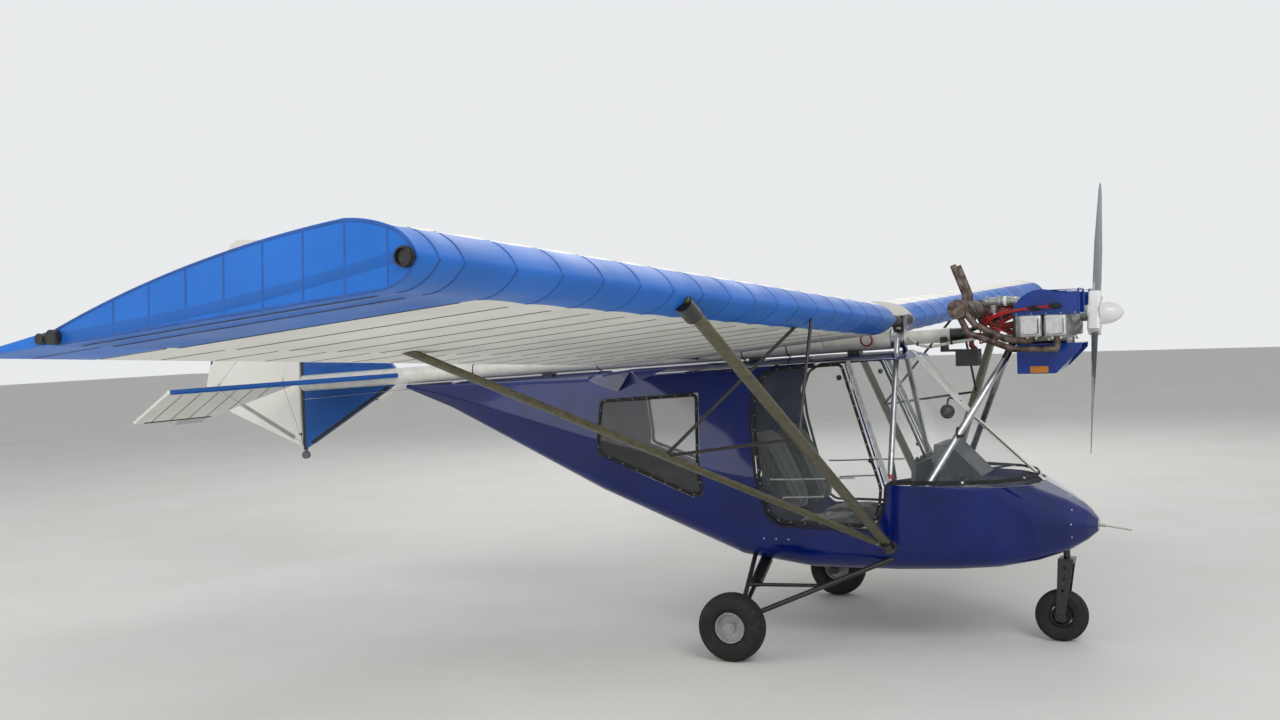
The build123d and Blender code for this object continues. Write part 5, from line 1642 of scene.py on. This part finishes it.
# Seats: a cushion and a back on each side, swelled by a short cloth run and squashed flat where they rest
seats = {
    "halfWidth": 0.186, "middles": (0.225, -0.225), "floor": 0.6055, "fill": 0.7,
    "cushion": ((-0.190, 0.612), (-0.190, 0.672), (-0.520, 0.655), (-0.600, 0.612)),
    "back": ((-0.565, 0.665), (-0.512, 0.700), (-0.745, 1.190), (-0.815, 1.180)),
    "slices": 14, "shrink": 0.93, "sideShrink": 0.16, "voxel": 0.006, "quickCoarser": 2.5,
    "pressure": 4.0, "frames": 20, "cap": 0.022,
}


# The pad's side view swept across, its corners rounded, a little smaller than the finished pad
def padMesh(name, outline, middle):
    line = roundOff([Vector((wingX + x, 0, z)) for x, z in outline], 2, True)
    line = fillIn(line, 0.02, True)
    centre = sum(line, Vector()) / len(line)
    points, faces = [], []
    steps, count = seats["slices"], len(line)
    for k in range(steps + 1):
        share = -1 + 2 * k / steps
        shrink = seats["shrink"] - seats["sideShrink"] * abs(share) ** 6
        for p in (centre + (q - centre) * shrink for q in line):
            points.append((p.x, middle + share * seats["halfWidth"], p.z))
    for k in range(steps):
        for i in range(count):
            a, b = k * count + i, k * count + (i + 1) % count
            faces.append((a, b, b + count, a + count))
    faces += [tuple(range(count)), tuple(steps * count + i for i in range(count))]
    mesh = bpy.data.meshes.new(name)
    mesh.from_pydata(points, [], faces)
    work = bmesh.new()
    work.from_mesh(mesh)
    bmesh.ops.recalc_face_normals(work, faces=work.faces)
    work.to_mesh(mesh)
    work.free()
    return mesh


def madePlain(obj):
    return bpy.data.meshes.new_from_object(obj.evaluated_get(bpy.context.evaluated_depsgraph_get()))


# The cloth swells under pressure alone, and no place moves further than the cap
def swellCloth(pad):
    scene = bpy.context.scene
    start = [v.co.copy() for v in pad.data.vertices]
    cloth = pad.modifiers.new("swell", "CLOTH")
    cloth.settings.use_pressure = True
    cloth.settings.uniform_pressure_force = seats["pressure"]
    cloth.settings.effector_weights.gravity = 0
    cloth.settings.quality = 5
    cloth.point_cache.frame_start = 1
    cloth.point_cache.frame_end = seats["frames"]
    for number in range(1, seats["frames"] + 1):
        scene.frame_set(number)
    swollen = madePlain(pad)
    pad.modifiers.remove(cloth)
    scene.frame_set(1)
    for vertex, was in zip(swollen.vertices, start):
        move = vertex.co - was
        if move.length > seats["cap"]:
            vertex.co = was + move.normalized() * seats["cap"]
    pad.data = swollen


def swellPad(name, outline, middle):
    pad = bpy.data.objects.new(name, padMesh(name, outline, middle))
    bpy.context.scene.collection.objects.link(pad)
    remesh = pad.modifiers.new("even", "REMESH")
    remesh.mode = "VOXEL"
    remesh.voxel_size = seats["voxel"] * 1
    plain = madePlain(pad)
    pad.modifiers.remove(remesh)
    pad.data = plain
    swellCloth(pad)
    for vertex in pad.data.vertices:
        vertex.co.z = max(vertex.co.z, seats["floor"])
    finer = pad.modifiers.new("finer", "SUBSURF")
    finer.levels = 1
    smooth = madePlain(pad)
    pad.modifiers.remove(finer)
    bpy.data.objects.remove(pad)
    smooth.materials.clear()
    smooth.materials.append(seatCloth)
    smooth.name = name
    piece = linkPiece(name, smooth, "airframe", 60)
    return piece


# Sewn piping down each pad's edges, and the lap and shoulder straps with their buckle
belts = {
    "seamShare": 0.86, "cushionSeam": ((-0.215, 0.7), (-0.515, 0.7)),
    "backSeam": ((-0.50, 0.76), (-0.50, 1.14)),
    "pipe": 0.0035, "strapWidth": 0.045, "strapHeight": 0.0035, "shoulder": 0.075, "narrowing": 0.6,
    "shoulderStrap": (1.16, 0.74), "strapAhead": -0.48, "lapHalf": 0.17, "lapAhead": -0.42, "lapBow": 0.04,
    "above": 0.8, "buckleAhead": -0.38, "buckleLift": 0.0075, "buckleRadius": 0.03, "buckleHeight": 0.012,
}
down, backward = (0, 0, -1), (-0.9, 0, -0.43)


def addSeatPiping(word, middle, surface):
    half = seats["halfWidth"] * belts["seamShare"]
    seams = []
    for y in (middle - half, middle + half):
        for ends, toward in ((belts["cushionSeam"], down), (belts["backSeam"], backward)):
            laid = layOn(surface, lineBetween(*(at(x, y, z) for x, z in ends), 20), toward)
            seams.append([p + n * 0.001 for p, n in smoothNormals(laid)])
    addPiping(f"seat_piping_{word}", seams, belts["pipe"], webbing, "airframe", 8)


def addHarness(word, middle, surface):
    high, low = belts["shoulderStrap"]
    runs = []
    for offset in (-belts["shoulder"], belts["shoulder"]):
        start = at(belts["strapAhead"], middle + offset, high)
        end = at(belts["strapAhead"], middle + offset * belts["narrowing"], low)
        runs.append(layOn(surface, lineBetween(start, end, 24), backward))
    lap = [at(belts["lapAhead"] + belts["lapBow"] * math.sin(math.pi * k / 24),
              middle + belts["lapHalf"] * (k / 12 - 1), belts["above"]) for k in range(25)]
    runs.append(layOn(surface, lap, down))
    addStrips(f"harness_{word}", runs, belts["strapWidth"], belts["strapHeight"], webbing, "airframe")
    place, out = layOn(surface, [at(belts["buckleAhead"], middle, belts["above"])], down)[0]
    addStuds(f"harness_buckle_{word}", [(place + out * belts["buckleLift"], out)], belts["buckleRadius"],
             belts["buckleHeight"], brightScrew, "airframe", 24, discs)


def addSeat(word, middle):
    pads = [swellPad(f"seat_{part}_{word}", seats[part], middle) for part in ("cushion", "back")]
    for pad in pads:
        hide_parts(f"seat_{word}")
    surface = surfaceOver([pad.data for pad in pads])
    addSeatPiping(word, middle, surface)
    addHarness(word, middle, surface)


for (_, word), middle in zip(sides, seats["middles"]):
    addSeat(word, middle)
print("seats sewn")


# Floor, backdrop and light
stage = {"halfSize": 60, "floor": "e9e8e4", "sky": "eef0f2",
         "lamps": (("keyLight", (9, -9, 9), 7, 760), ("fillLight", (-7, -10, 7), 9, 330),
                   ("backLight", (-2, 10, 9), 9, 420), ("lowLight", (4, -11, 1.2), 5, 130))}


def addFloor():
    made, tree, shader = baseMaterial("paleFloorPaint", stage["floor"], {"Roughness": 0.9})
    addMottle(tree, shader, "e4e3de", stage["floor"], 900)
    size = stage["halfSize"]
    mesh = bpy.data.meshes.new("floor")
    plate = [(x * size, y * size, 0) for x, y in ((-1, -1), (1, -1), (1, 1), (-1, 1))]
    mesh.from_pydata(plate, [], [(0, 1, 2, 3)])
    mesh.materials.append(made)
    floor = bpy.data.objects.new("floor", mesh)
    bpy.context.scene.collection.objects.link(floor)


def addSky():
    world = bpy.data.worlds.new("studio")
    bpy.context.scene.world = world
    world.use_nodes = True
    tree = world.node_tree
    shader = tree.nodes["Background"]
    shader.inputs["Color"].default_value = hexColour(stage["sky"])
    rays = addNode(tree, "ShaderNodeLightPath")
    seen = addNode(tree, "ShaderNodeMath", {"operation": "MAXIMUM"},
                   {0: rays.outputs["Is Camera Ray"], 1: rays.outputs["Is Glossy Ray"]})
    anySeen = addNode(tree, "ShaderNodeMath", {"operation": "MAXIMUM"},
                      {0: seen.outputs[0], 1: rays.outputs["Is Transmission Ray"]})
    level = addNode(tree, "ShaderNodeMapRange", {"To Min": 0.5, "To Max": 0.95}, {"Value": anySeen.outputs[0]})
    tree.links.new(level.outputs["Result"], shader.inputs["Strength"])


def addLamps():
    for name, place, size, power in stage["lamps"]:
        data = bpy.data.lights.new(name, "AREA")
        data.energy = power
        data.size = size
        lamp = bpy.data.objects.new(name, data)
        lamp.location = place
        lamp.rotation_euler = (Vector((1, 0, 1)) - Vector(place)).to_track_quat("-Z", "Y").to_euler()
        bpy.context.scene.collection.objects.link(lamp)


addFloor()
addSky()
addLamps()
bpy.context.scene.view_settings.view_transform = "Standard"
print("stage lit")
